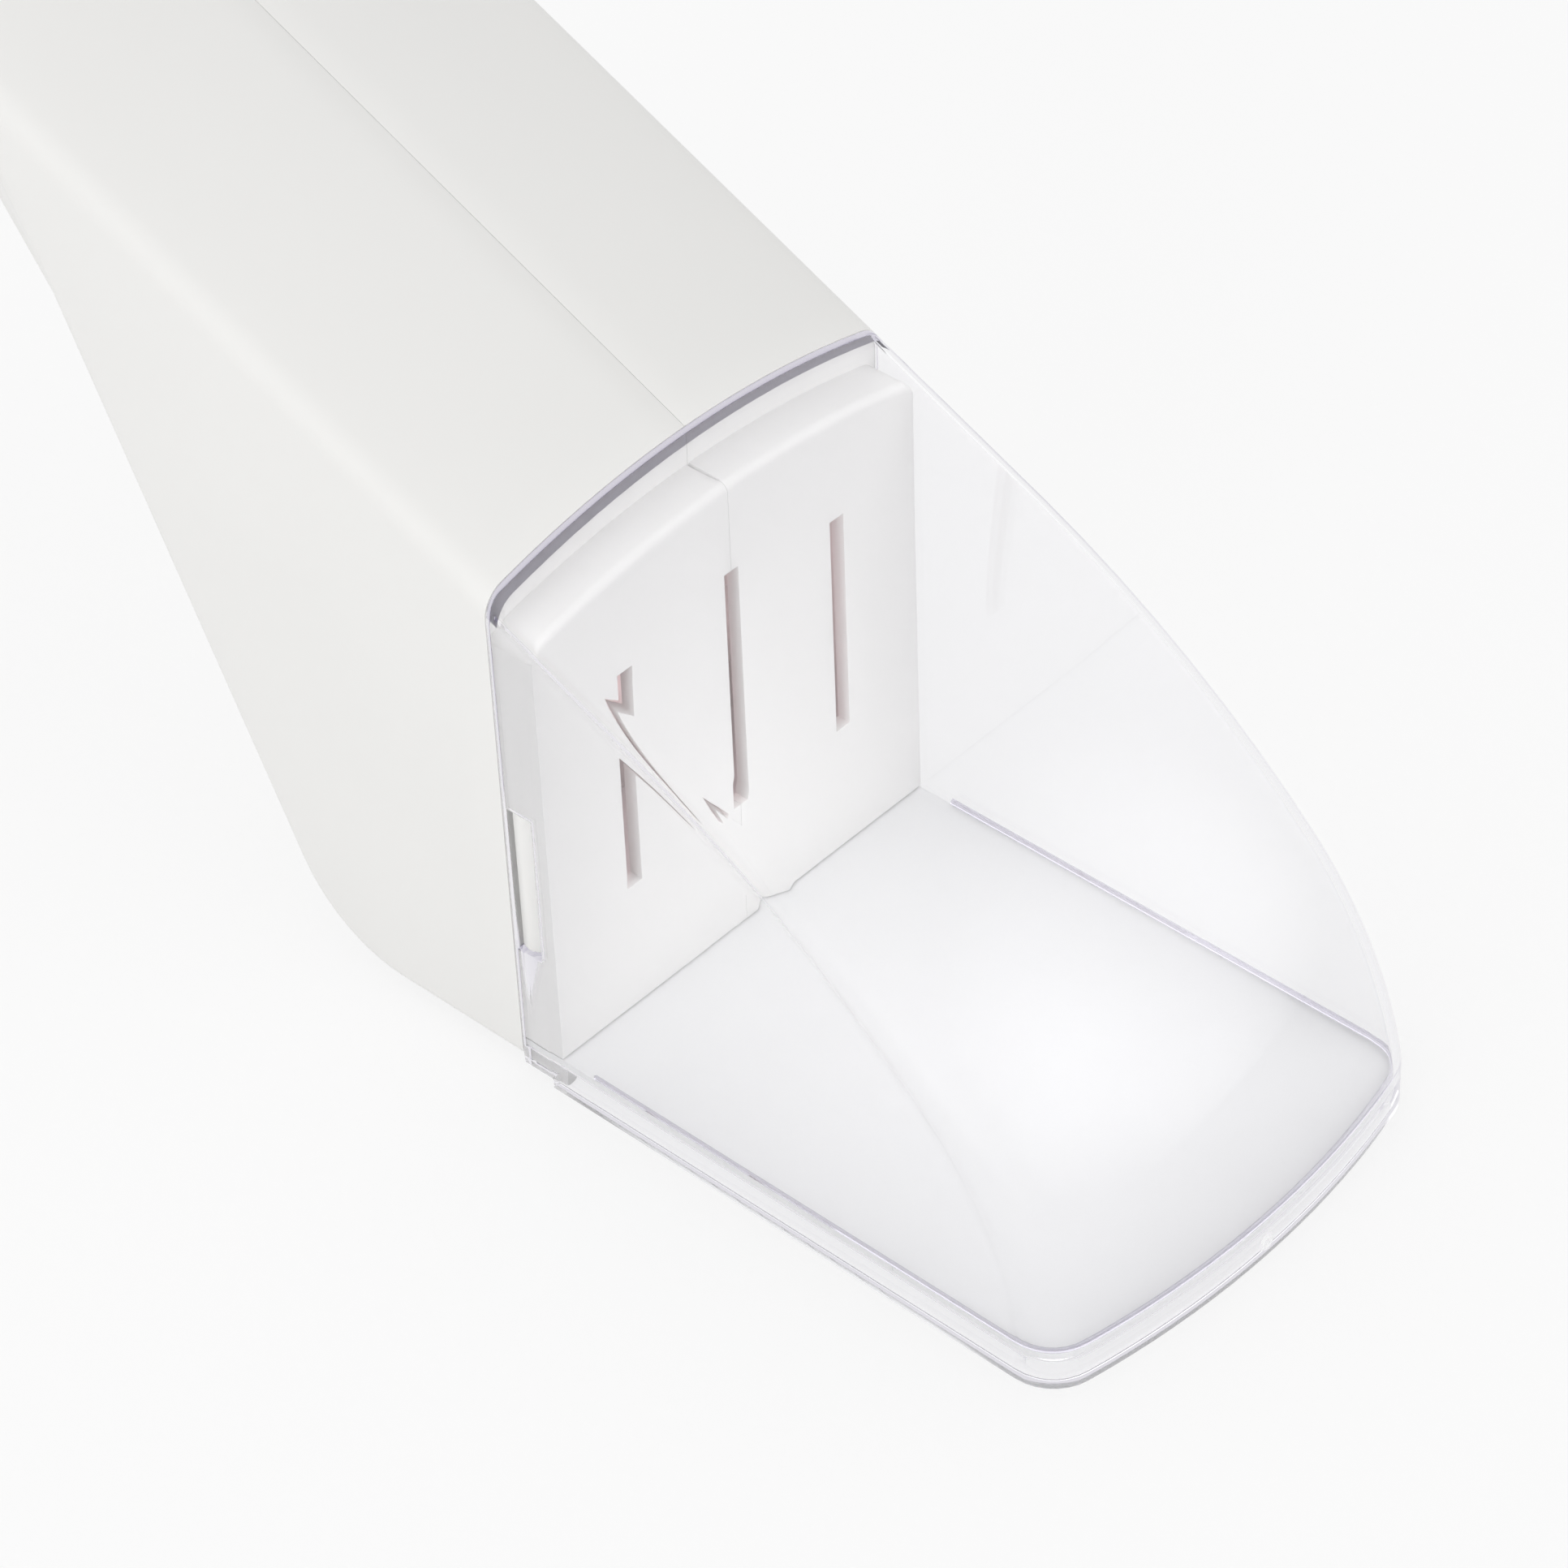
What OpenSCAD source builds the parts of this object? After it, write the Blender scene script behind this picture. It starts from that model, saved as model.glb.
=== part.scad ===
// Hand-held bug catcher: a clear hood with an open mouth, closed by a trap door
// that a thumb slide on the handle pushes out and draws back.
// +X points to the tip of the hood, +Z up, and Z = 0 is the plane of the mouth rim.
// X = 0 is the joint between the hood and the white body, Y = 0 the seam of the body.
// Travel directions in the XZ plane are given as slopes: 0 runs along +X, 90 straight
// down and 180 along -X, and the outward side of a line is on its left hand from +Y.

/* [Hood] */
// Outside width of the hood and of the body behind it
hood_w = 70; // [66:1:76]
// Height of the roof's side corner above the mouth rim, at the hood's rear edge
hood_h = 77; // [73:1:82]
// Length of the hood's sides, from its rear edge to the front corners
hood_l = 87; // [83:1:92]
// Rise of the crowned roof above its side corners
crown = 4.5; // [3.5:0.5:5.5]
// Rounding between the roof and the sides
edge_r = 4; // [3:0.5:5]
// Thickness of the clear wall
hood_wall = 1.4; // [1.2:0.1:1.6]
// Slope of the roof and of the handle, in degrees
roof_slope = 24; // [21:1:27]
// Straight part of the roof, measured along X
roof_straight = 28; // [22:1:32]
// Slope where the gentle roof curve hands over to the tight one, in degrees
roof_mid_slope = 45; // [43:1:48]
// Slope where the tight curve hands over to the nose, in degrees
roof_end_slope = 75; // [73:1:77]
// Radius of the small nose curve above the lip
nose_r = 15; // [10:1:18]
// Width of the ledge that carries the trap door
ledge_w = 1.8; // [1.2:0.1:2.4]
// Length of the raised stretch of rim at the rear corners
rim_step_l = 5; // [4:0.5:6]
// Height of that stretch above the rim plane, and of the body's underside
rim_step_h = 1.5; // [1:0.1:1.8]

/* [Snap catches] */
// Height of the catch window's lower edge
catch_z = 21.5; // [18:0.5:26]
// Tall side of the catch window
catch_h = 23; // [18:0.5:26]
// Short side of the catch window
catch_w = 4; // [3.4:0.2:4.4]
// Setback of the catch window from the hood's rear edge
catch_x = 0.8; // [0.6:0.1:1]
// Clearance of a catch in its window
catch_gap = 0.3; // [0.2:0.05:0.4]

/* [Body] */
// Wall of the white shells
body_wall = 1.4; // [1.2:0.1:1.6]
// Front face of the ventilated end wall, ahead of the hood's rear edge
wall_x = 6.5; // [6:0.1:7.5]
// Thickness of the end wall
end_wall_t = 2; // [1.6:0.1:2.4]
// Rounding between the tongue's top and the end wall
tongue_r = 1.3; // [1:0.1:1.8]
// Drop of the tongue's level top below the hood's rear edge
tongue_drop = 4.2; // [4:0.1:5]
// Clearance between the tongue and the hood's inside
tongue_gap = 0.15; // [0.1:0.05:0.2]
// Distance back from the hood at which the belly's flat and incline would meet
belly_l = 34.5; // [32:0.5:38]
// Radius of the belly's bend
belly_r = 20; // [18:0.5:22]
// Rounding of the belly's long edges
belly_edge_r = 2.6; // [2.2:0.1:3.2]
// Slope of the belly's rear incline above the horizontal, in degrees
belly_slope = 64.5; // [62:0.5:67]
// Gap left between the two shells at the seam
seam_gap = 0.08; // [0.06:0.02:0.12]

/* [Vents] */
// Width of a vent slot
vent_w = 2.5; // [2:0.1:3]
// Distance between vent slots
vent_pitch = 19; // [17:0.5:21]
// Height of the slots' lower ends
vent_z = 25; // [22:0.5:28]
// Height of the outer slots
vent_h = 34; // [30:0.5:36]
// Extra height of the middle slot
vent_rise = 3.5; // [2:0.5:4]
// Width of the notch along the seam on top of the tongue
notch_w = 0.5; // [0.4:0.1:1]
// Depth of that notch
notch_d = 0.5; // [0.3:0.1:0.8]

/* [Handle] */
// Length of the handle along its slope, from the hood to its end
handle_l = 222; // [218:1:232]
// Depth of the handle below the roof's corner line
grip_h = 22; // [21:0.5:24]
// Width of the grip
grip_w = 42; // [40:1:46]
// Rounding of the grip's long edges
grip_r = 7; // [6:0.5:8]
// Where the taper behind the body reaches the grip's width, along the handle
taper_s = 128; // [124:1:134]

/* [Trap door] */
// Height of the door's underside above the rim plane
door_z = 4.2; // [4:0.1:4.6]
// Thickness of the door
door_t = 1; // [0.8:0.1:1.2]
// Clearance between the door and the hood's sides
door_gap = 0.2; // [0.15:0.05:0.3]
// Clearance above and below the door in its guides
slide_gap = 0.25; // [0.2:0.05:0.3]
// Length of the stiff front leaf, along the hood's side
leaf_l = 24; // [20:1:26]
// Stroke of the door and of the thumb slide
travel = 84; // [80:1:85]
// Length of web left at its fixed end when the door is fully drawn back
web_rest = 0.8; // [0.6:0.1:1]
// Distance between the hinge grooves under the flexible web
hinge_pitch = 4; // [3.5:0.5:6]
// Width of a hinge groove
hinge_w = 0.8; // [0.5:0.1:1]
// Material left over a hinge groove
hinge_t = 0.45; // [0.3:0.05:0.6]
// Width of the tail strip that ties the web to the slide
tail_w = 18; // [14:1:19]
// Thickness of the tail strip
tail_t = 0.8; // [0.6:0.1:0.9]
// Bend radius of the tail strip where it turns into the handle
tail_r = 12; // [10:0.5:14]
// Height of the guide rails that the web runs behind
rail_t = 1.2; // [1:0.1:1.6]
// Reach of the guide rails from the body's sides
rail_w = 4; // [3:0.5:6]

/* [Thumb slide] */
// Place of the slide on the handle when the door is shut, along the handle
slide_s = 108; // [106:0.5:112]
// Width of the slot in the top of the handle
slot_w = 9; // [8:0.5:10]
// Length of the button's stem
stem_l = 12; // [10:0.5:14]
// Length of the thumb button
button_l = 24; // [22:1:26]
// Width of the thumb button
button_w = 20; // [18:1:22]
// Height of the thumb button
button_h = 4.5; // [4:0.5:5.5]
// Running clearance of the button, its stem and the carriage
run_gap = 0.3; // [0.25:0.05:0.4]
// Length of the carriage
carriage_l = 30; // [28:1:32]
// Width of the carriage
carriage_w = 26; // [25:1:28]
// Thickness of the carriage
carriage_t = 4.6; // [4.2:0.1:5]
// Length of the clamp plate under the carriage
clamp_l = 18; // [16:1:20]
// Thickness of the clamp plate
clamp_t = 1.5; // [1.2:0.1:1.8]
// Thickness of the channel that the carriage runs in
channel_t = 1.4; // [1.2:0.1:1.6]

/* [Fasteners] */
// Diameter of the self-tapping case screws
screw_d = 2.6; // [2.4:0.1:3]
// Length of a case screw under its head
screw_l = 14; // [12:1:16]
// Diameter of a case screw's head
head_d = 5.2; // [4.8:0.1:5.4]
// Height of a screw head
head_h = 1.8; // [1.6:0.1:2.2]
// Outside diameter of the screw bosses
boss_d = 7.6; // [7.2:0.1:8]
// Distance of a screw head's seat from the seam
seat_y = 5; // [4:0.5:6]
// Diameter of the two clamp screws
clamp_screw_d = 2; // [1.8:0.1:2.2]

/* [Hidden] */
$fn = 96;
// Overrun of every cut past the face that it opens
over = 1;
// Fine overrun where two solids of one piece only have to run into each other
bite = 0.2;
// Clearance of a screw in its pilot hole
pilot_gap = 0.02;
// Play of the clamped strip between its plates
clamp_gap = 0.01;
// Step in from one swept stretch to the next, so that they overlap cleanly
step = 0.02;
// Angle by which a bend reaches into the stretches beside it
lead = 3;
// Straight steps along a curved strip, a rounded edge and half of the crown
arc_steps = 12;
edge_steps = 6;
crown_steps = 8;
// A length longer than the whole catcher, for cutting blocks
far = 4 * handle_l;

half_w = hood_w / 2;
crown_r = (half_w * half_w + crown * crown) / (2 * crown);
crown_v = crown - crown_r;

function heading(slope) = [cos(slope), -sin(slope)];
function outward(slope) = [sin(slope), cos(slope)];
function turn(u, v) = u.x * v.y - u.y * v.x;
// Where the line through p at slope a meets the line through q at slope b
function meet(p, a, q, b) =
    p + heading(a) * turn(q - p, heading(b)) / turn(heading(a), heading(b));

// The door's guide in the hood
guide_top = door_z + door_t + slide_gap;
guide_low = door_z - slide_gap;

// The roof line: a straight, two arcs whose radii bring it to the nose, the nose and the lip
lip_h = guide_top;
roof_p0 = [0, hood_h];
roof_p1 = roof_p0 + heading(roof_slope) * roof_straight / cos(roof_slope);
nose_p = [hood_l, lip_h] + nose_r * (outward(roof_end_slope) - outward(90));
roof_run = nose_p - roof_p1;
curve_a = outward(roof_mid_slope) - outward(roof_slope);
curve_b = outward(roof_end_slope) - outward(roof_mid_slope);
curve_det = turn(curve_a, curve_b);
gentle_r = turn(roof_run, curve_b) / curve_det;
tight_r = turn(curve_a, roof_run) / curve_det;
gentle_c = roof_p1 - gentle_r * outward(roof_slope);
tight_c = gentle_c + (gentle_r - tight_r) * outward(roof_mid_slope);
nose_c = tight_c + (tight_r - nose_r) * outward(roof_end_slope);

// The belly line: flat, bend, incline
incline = 180 + belly_slope;
back = 180 + roof_slope;
belly_v = [-belly_l, rim_step_h];
belly_reach = belly_r * tan(belly_slope / 2);
bend_p = belly_v + [belly_reach, 0];
bend_c = bend_p + [0, belly_r];
incline_p = belly_v + belly_reach * heading(incline);
incline_l = norm(meet(belly_v, incline, roof_p0, back) - incline_p) + 2 * crown;

// How deep the web lies inside the belly's outer skin
web_in = door_z - rim_step_h;
rail_in = web_in + door_t + slide_gap;

// The handle's parts, as distances along the corner line and heights over it
skin_v = crown - body_wall;
carriage_v = skin_v - carriage_w * carriage_w / 8 / crown_r - run_gap;
carriage_low = carriage_v - carriage_t;
tail_low = carriage_low - tail_t;
ledge_v = carriage_low - run_gap;
channel_y = carriage_w / 2 + run_gap;
slot_s0 = slide_s - stem_l / 2 - 2 * run_gap;
slot_s1 = slide_s + travel + stem_l / 2 + 2 * run_gap;
channel_s0 = slide_s - carriage_l / 2 - channel_t;
channel_s1 = slide_s + travel + carriage_l / 2 + channel_t;

// The door's parts along X
leaf_x = hood_l - hood_wall - door_gap - leaf_l;
web_l = travel + web_rest;
web_x = leaf_x - web_l;

// The tail strip's path at the middle of its thickness
tail_in = web_in + door_t / 2;
tail_mid_v = carriage_low - tail_t / 2;
tail_line = roof_p0 + tail_mid_v * outward(roof_slope);
tail_v = meet(belly_v - tail_in * outward(incline), incline, tail_line, back);
tail_turn = incline - back;
tail_reach = tail_r * tan(tail_turn / 2);
tail_c = tail_v - tail_reach * heading(incline) + tail_r * outward(incline);
tail_start = asin((bend_p.x - web_x + slide_gap) / (belly_r - tail_in));

// The case screws: two in the body, three along the handle, as X and Z
boss_v = -grip_h + body_wall + boss_d / 2 + 2 * run_gap;
function on_handle(s, v) = roof_p0 + s * heading(back) + v * outward(roof_slope);
screw_places = [
    bend_c,
    roof_p0 + [-boss_d * 1.6, -boss_d * 1.2],
    on_handle(slide_s + boss_d / 2, boss_v),
    on_handle(slide_s + travel * 0.6, boss_v),
    on_handle(handle_l - body_wall - boss_d, boss_v + grip_r / 2)
];

// Points along an arc whose angles are counted from the section's right
function arc(c, r, from, to, steps) =
    [for (i = [0 : steps]) c + r * [cos(from + (to - from) * i / steps),
        sin(from + (to - from) * i / steps)]];

// A section from its right half, drawn from the bottom to the middle of the top
module both_sides(right)
    polygon(concat(right, [for (i = [len(right) - 1 : -1 : 0]) if (right[i].x > 0)
        [-right[i].x, right[i].y]]));

// The section of the hood and the body, sunk in by inset: crowned top, rounded corners,
// open downwards to the given depth, or closed there with corners of the radius low_r
module crowned(half, depth, top_r, low_r, inset) {
    top_v = crown_v + sqrt(pow(crown_r - top_r, 2) - pow(half - top_r, 2));
    side_angle = atan2(top_v - crown_v, half - top_r);
    both_sides(concat(
        low_r > 0 ? arc([half - low_r, low_r - depth], low_r - inset, -90, 0, edge_steps)
            : [[half - inset, -depth]],
        arc([half - top_r, top_v], top_r - inset, 0, side_angle, edge_steps),
        arc([0, crown_v], crown_r - inset, side_angle, 90, crown_steps)
    ));
}

// The section of the belly: flat, with rounded corners, filled inwards to the given depth
module trough(depth, inset)
    both_sides(concat(
        [[half_w - inset, -depth]],
        arc([half_w - belly_edge_r, -belly_edge_r], belly_edge_r - inset, 0, 90, edge_steps),
        [[0, -inset]]
    ));

// Carries a section straight on from p, along the slope
module run(p, slope, length)
    translate([p.x, 0, p.y]) rotate([0, slope, 0]) rotate([90, 0, 90])
        linear_extrude(length) children();

// Carries a section round the centre c from one slope to a steeper one
module bend(c, from, to, r)
    translate([c.x, 0, c.y]) rotate([0, from, 0])
        rotate([90, 0, 90]) rotate([90, 0, 90])
            rotate_extrude(angle = to - from) translate([r, 0]) rotate(-90) children();

// Puts a piece on the handle: x runs forward, z up from the corner line
module on_grip(s)
    translate([0, 0, hood_h]) rotate([0, roof_slope, 0]) translate([-s, 0, 0]) children();

// The hood's outer form, or its inside where inset is a wall, from the height low upwards
module hood_form(inset, cut, low) {
    intersection() {
        union() {
            roof_form(inset);
            bend(gentle_c, roof_slope - lead, roof_mid_slope, gentle_r)
                crowned(half_w, gentle_r - bite / 2, edge_r, 0, inset + step);
            bend(tight_c, roof_mid_slope - lead, roof_end_slope, tight_r)
                crowned(half_w, tight_r - bite / 2, edge_r, 0, inset + 2 * step);
            bend(nose_c, roof_end_slope - lead, 90 + lead, nose_r)
                crowned(half_w, nose_r - bite / 2, edge_r, 0, inset + 3 * step);
            plan_slice(-2 * over, lip_h + bite, -2 * over, inset + step / 2);
        }
        translate([-cut, -hood_w, low]) cube([hood_l + hood_w, 2 * hood_w, 2 * hood_h]);
    }
}

// The straight stretch of the roof, with all that lies under it
module roof_form(inset)
    run(roof_p0 - hood_w * heading(roof_slope), roof_slope, norm(roof_p1 - roof_p0) + hood_w)
        crowned(half_w, hood_h + hood_w, edge_r, 0, inset);

// A slice of the hood's plan between two heights
module plan_slice(low, high, rear, inset)
    run([hood_l, high], 90, high - low) crowned(half_w, hood_l - rear, edge_r, 0, inset);

module hood() {
    color([0.9, 0.9, 0.95, 0.35]) difference() {
        hood_form(0, 0, 0);
        hood_form(hood_wall, over, guide_low);
        plan_slice(-over, guide_low + bite, -over, hood_wall + ledge_w);
        // raised rear end of the rim
        translate([-over, -hood_w, -over])
            cube([rim_step_l + over, 2 * hood_w, rim_step_h + over]);
        // windows for the snap catches
        translate([catch_x, -hood_w, catch_z]) cube([catch_w, 2 * hood_w, catch_h]);
    }
}

// The wide part of the body, from the belly to the roof line, sunk in by inset
module wide_form(inset, cut) {
    intersection() {
        union() {
            run([2 * over, rim_step_h], 180, 2 * over - bend_p.x) trough(hood_h, inset);
            bend(bend_c, 180 - lead, incline + lead, belly_r)
                trough(belly_r - bite / 2, inset + step);
            run(incline_p, incline, incline_l) trough(2 * hood_h, inset);
        }
        run(on_handle(handle_l, 0), roof_slope, handle_l + hood_w)
            crowned(half_w, 2 * hood_h, edge_r, 0, inset + step);
        translate([cut - far, -hood_w, -over]) cube([far, 2 * hood_w, far]);
    }
}

// The handle at full width, whose cut along the incline starts the taper
module wide_handle(inset)
    run(on_handle(handle_l, 0), roof_slope, handle_l)
        crowned(half_w, grip_h, edge_r, belly_edge_r, inset);

module grip_section(inset) crowned(grip_w / 2, grip_h, grip_r, grip_r, inset);

// The taper from the body's width to the grip's
module taper_form(inset) {
    hull() {
        intersection() {
            wide_handle(inset + 2 * step);
            run(incline_p - (inset + 2 * bite) * outward(incline), incline, incline_l)
                translate([-hood_w, -bite]) square([2 * hood_w, bite]);
        }
        run(on_handle(taper_s, 0), roof_slope, bite) grip_section(inset);
    }
}

// The grip, whose end is the same section turned through half a circle
module grip_form(inset) {
    round_s = handle_l - grip_w / 2;
    run(on_handle(round_s, 0), roof_slope, round_s - taper_s + lead)
        grip_section(inset + 2 * step);
    on_grip(round_s) translate([bite, 0, 0]) rotate([0, 0, 90 - lead])
        rotate_extrude(angle = 180 + 2 * lead) intersection() {
            grip_section(inset + 3 * step);
            translate([bite / 2, -hood_h]) square([grip_w, 2 * hood_h]);
        }
}

module body_form(inset, cut) {
    wide_form(inset, cut);
    taper_form(inset);
    grip_form(inset);
}

// The tongue that enters the hood: a level box with a crowned top, from back to front
module tongue_form(inset, back, front) {
    sunk = hood_wall + tongue_gap + inset;
    level = hood_h - tongue_drop;
    intersection() {
        run([back, level], 0, front - back + over) crowned(half_w, hood_h, edge_r, 0, sunk);
        translate([back - over, -hood_w, guide_top])
            cube([front - back + 2 * over, 2 * hood_w, hood_h]);
        translate([0, 0, level + crown_v]) rotate([0, 90, 0]) soft_end(crown_r - sunk, front);
    }
}

// A blank turned about the centre line of the crown: its flank leaves the level top at a
// small angle, and rounds over into the flat front
module soft_end(top, front) {
    flank = 10;
    centre = [top - tongue_r * cos(1.5 * flank), front - tongue_r];
    rotate_extrude($fn = 240) polygon(concat(
        [[0, -hood_w], [0, front]],
        arc(centre, tongue_r, 90, flank, arc_steps),
        [centre + tongue_r * [cos(flank), sin(flank)] + hood_w * [sin(flank), -cos(flank)]]
    ));
}

// The space that the door's web runs in, kept free behind and under the end wall
module door_way()
    translate([-belly_l / 2, hood_wall - half_w, guide_low])
        cube([belly_l / 2 + wall_x + over, hood_w - 2 * hood_wall, guide_top - guide_low]);

function arc_points(c, r, from, to) =
    [for (i = [0 : arc_steps]) c + r * outward(from + (to - from) * i / arc_steps)];

// The line at a depth inside the belly's skin: flat, round the bend and up the incline
function belly_line(start_x, depth, length) = concat(
    [[start_x, rim_step_h + depth]],
    arc_points(bend_c, belly_r - depth, 180, incline),
    [incline_p - depth * outward(incline) + length * heading(incline)]
);

// A strip between two lines, as wide as width along Y
module strip(low_line, high_line, width) {
    count = len(high_line);
    rotate([90, 0, 0]) linear_extrude(width, center = true)
        polygon(concat(low_line, [for (i = [1 : count]) high_line[count - i]]));
}

// A rail that follows the belly inside the shell, over the web
module guide_rail() {
    length = incline_l - 2 * grip_h;
    width = rail_w + body_wall / 2;
    translate([0, half_w - body_wall / 2 - width / 2, 0])
        strip(belly_line(-bite, rail_in, length), belly_line(-bite, rail_in + rail_t, length),
            width);
}

// The channel under the handle's top that the carriage runs in
module channel() {
    length = channel_s1 - channel_s0;
    on_grip(channel_s1) {
        translate([0, channel_y, ledge_v - channel_t])
            cube([length, channel_t, skin_v - ledge_v + channel_t]);
        translate([0, tail_w / 2 + 2 * run_gap, ledge_v - channel_t])
            cube([length, channel_y + bite - tail_w / 2 - 2 * run_gap, channel_t]);
    }
}

// One shell, on the +Y side; the screws' heads sit in it where heads is true
module shell(heads) {
    difference() {
        union() {
            difference() {
                body_form(0, 0);
                body_form(body_wall, -body_wall);
                tongue_form(body_wall, -body_wall - over, wall_x - end_wall_t);
            }
            difference() {
                tongue_form(0, -body_wall / 2, wall_x);
                tongue_form(body_wall, -body_wall - over, wall_x - end_wall_t);
            }
            intersection() {
                union() {
                    guide_rail();
                    channel();
                    bosses();
                    sill();
                }
                union() {
                    body_form(body_wall / 2, body_wall);
                    translate([-bite, -half_w, 0]) cube([wall_x, hood_w, guide_low]);
                }
            }
            catch_lug();
        }
        door_way();
        vents();
        thumb_slot();
        for (p = screw_places) translate([p.x, 0, p.y]) rotate([-90, 0, 0]) {
            if (heads) {
                translate([0, 0, -over]) cylinder(h = far, d = screw_d + 2 * slide_gap);
                translate([0, 0, seat_y]) cylinder(h = far, d = head_d + 2 * slide_gap);
            } else {
                translate([0, 0, -over])
                    cylinder(h = screw_l - seat_y + 2 * over, d = screw_d + 2 * pilot_gap);
            }
        }
        translate([-far, seam_gap / 2 - far, -far]) cube([2 * far, far, 2 * far]);
    }
}

module bosses()
    for (p = screw_places)
        translate([p.x, 0, p.y]) rotate([-90, 0, 0]) cylinder(h = hood_w, d = boss_d);

// The sill under the door, which closes the mouth's rear side
module sill() {
    width = hood_w - 2 * (hood_wall + ledge_w + tongue_gap);
    translate([-rim_step_l, -width / 2, 0]) cube([rim_step_l + wall_x - bite, width, guide_low]);
}

// The raised catch that snaps into the hood's window
module catch_lug()
    translate([catch_x + catch_gap, half_w - hood_wall - over, catch_z + catch_gap])
        cube([catch_w - 2 * catch_gap, over + hood_wall - catch_gap, catch_h - 2 * catch_gap]);

module vents() {
    for (i = [-1, 0, 1])
        translate([0, i * vent_pitch - vent_w / 2, vent_z])
            cube([wall_x + over, vent_w, vent_h + (i == 0 ? vent_rise : 0)]);
    tongue_top = hood_h - tongue_drop + crown - hood_wall - tongue_gap;
    translate([0, -notch_w / 2, tongue_top - notch_d])
        cube([wall_x - tongue_r, notch_w, tongue_drop - bite]);
}

module thumb_slot()
    on_grip(slot_s1) translate([0, -slot_w / 2, carriage_v])
        cube([slot_s1 - slot_s0, slot_w, 2 * crown]);

module left_shell() color([0.93, 0.93, 0.92]) shell(true);

module right_shell() color([0.93, 0.93, 0.92]) mirror([0, 1, 0]) shell(false);

// The stiff front leaf of the door, bowed like the hood's front
module door_leaf() {
    color([0.9, 0.91, 0.94]) intersection() {
        plan_slice(door_z, door_z + door_t, 0, hood_wall + door_gap);
        translate([leaf_x, -hood_w, 0]) cube([hood_l, 2 * hood_w, hood_h]);
    }
}

// The flexible web behind the leaf, grooved underneath so that it bends
module door_web() {
    width = hood_w - 2 * hood_wall - 2 * door_gap;
    grooves = floor((web_l - hinge_pitch) / hinge_pitch);
    color([0.9, 0.91, 0.94]) translate([web_x, -width / 2, door_z]) difference() {
        cube([web_l, width, door_t]);
        for (i = [1 : grooves])
            translate([i * hinge_pitch, -over, -over])
                cube([hinge_w, width + 2 * over, door_t - hinge_t + over]);
    }
}

// The tail strip, from the web round the belly and up to the carriage
module door_tail() {
    half_t = tail_t / 2 - clamp_gap;
    color([0.9, 0.91, 0.94]) difference() {
        strip(tail_path(-half_t), tail_path(half_t), tail_w);
        on_grip(slide_s) for (side = [-1, 1])
            translate([side * clamp_l / 4, 0, tail_low - clamp_t])
                cylinder(h = 2 * clamp_t + tail_t, d = clamp_screw_d + 2 * pilot_gap);
    }
}

// The tail's path, at a distance outside the middle of its thickness
function tail_path(off) = concat(
    arc_points(bend_c, belly_r - tail_in + off, 180 + tail_start, incline),
    arc_points(tail_c, off - tail_r, incline, back),
    [tail_line + off * outward(back) + (slide_s + clamp_l / 2) * heading(back)]
);

// The thumb button: a ribbed cap on a stem that passes the slot
module thumb_button() {
    cap_v = crown + run_gap;
    ribs = 5;
    rib_w = button_l / (3 * ribs);
    color([0.93, 0.93, 0.92]) on_grip(slide_s) {
        difference() {
            translate([-button_l / 2, -button_w / 2, cap_v])
                rounded_block([button_l, button_w, button_h], button_h / 2);
            for (i = [0 : ribs - 1])
                translate([(i - ribs / 2 + 1 / 4) * 2 * rib_w, -button_w, cap_v + button_h - rib_w / 2])
                    cube([rib_w, 2 * button_w, rib_w]);
        }
        translate([-stem_l / 2, run_gap - slot_w / 2, carriage_v])
            cube([stem_l, slot_w - 2 * run_gap, cap_v - carriage_v + bite]);
    }
}

// A block whose four upright edges are rounded
module rounded_block(size, r)
    linear_extrude(size.z) {
        for (x = [r, size.x - r], y = [r, size.y - r]) translate([x, y]) circle(r);
        translate([r, 0]) square([size.x - 2 * r, size.y]);
        translate([0, r]) square([size.x, size.y - 2 * r]);
    }

// The carriage under the slot, with a spring arm on each side
module slide_carriage() {
    arm_l = carriage_l * 0.6;
    arm_t = carriage_t / 4;
    clamp_hole = clamp_screw_d + 2 * pilot_gap;
    color([0.85, 0.86, 0.88]) on_grip(slide_s) difference() {
        translate([-carriage_l / 2, -carriage_w / 2, carriage_low])
            cube([carriage_l, carriage_w, carriage_t]);
        for (side = [-1, 1]) {
            translate([-arm_l / 2, side * (carriage_w / 2 - 2 * arm_t) - arm_t / 2,
                carriage_low - over])
                cube([arm_l, arm_t, carriage_t + 2 * over]);
            translate([side * clamp_l / 4, 0, carriage_low - over])
                cylinder(h = carriage_t - arm_t + over, d = clamp_hole);
        }
    }
}

// The plate that clamps the tail strip to the carriage
module tail_clamp() {
    color([0.85, 0.86, 0.88]) on_grip(slide_s) difference() {
        translate([-clamp_l / 2, -tail_w / 2, tail_low - clamp_t])
            cube([clamp_l, tail_w, clamp_t]);
        for (side = [-1, 1])
            translate([side * clamp_l / 4, 0, tail_low - clamp_t - over])
                cylinder(h = clamp_t + 2 * over, d = clamp_screw_d + 2 * slide_gap);
    }
}

module clamp_screws()
    color("silver") on_grip(slide_s)
        for (side = [-1, 1]) translate([side * clamp_l / 4, 0, tail_low - clamp_t]) {
            translate([0, 0, -head_h / 2]) cylinder(h = head_h / 2, d = 2 * clamp_screw_d);
            cylinder(h = clamp_t + tail_t + carriage_t / 2, d = clamp_screw_d);
        }

module case_screws()
    color("silver")
        for (p = screw_places) translate([p.x, seat_y, p.y]) rotate([90, 0, 0]) {
            cylinder(h = screw_l, d = screw_d);
            translate([0, 0, -head_h]) cylinder(h = head_h, d = head_d);
        }

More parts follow.
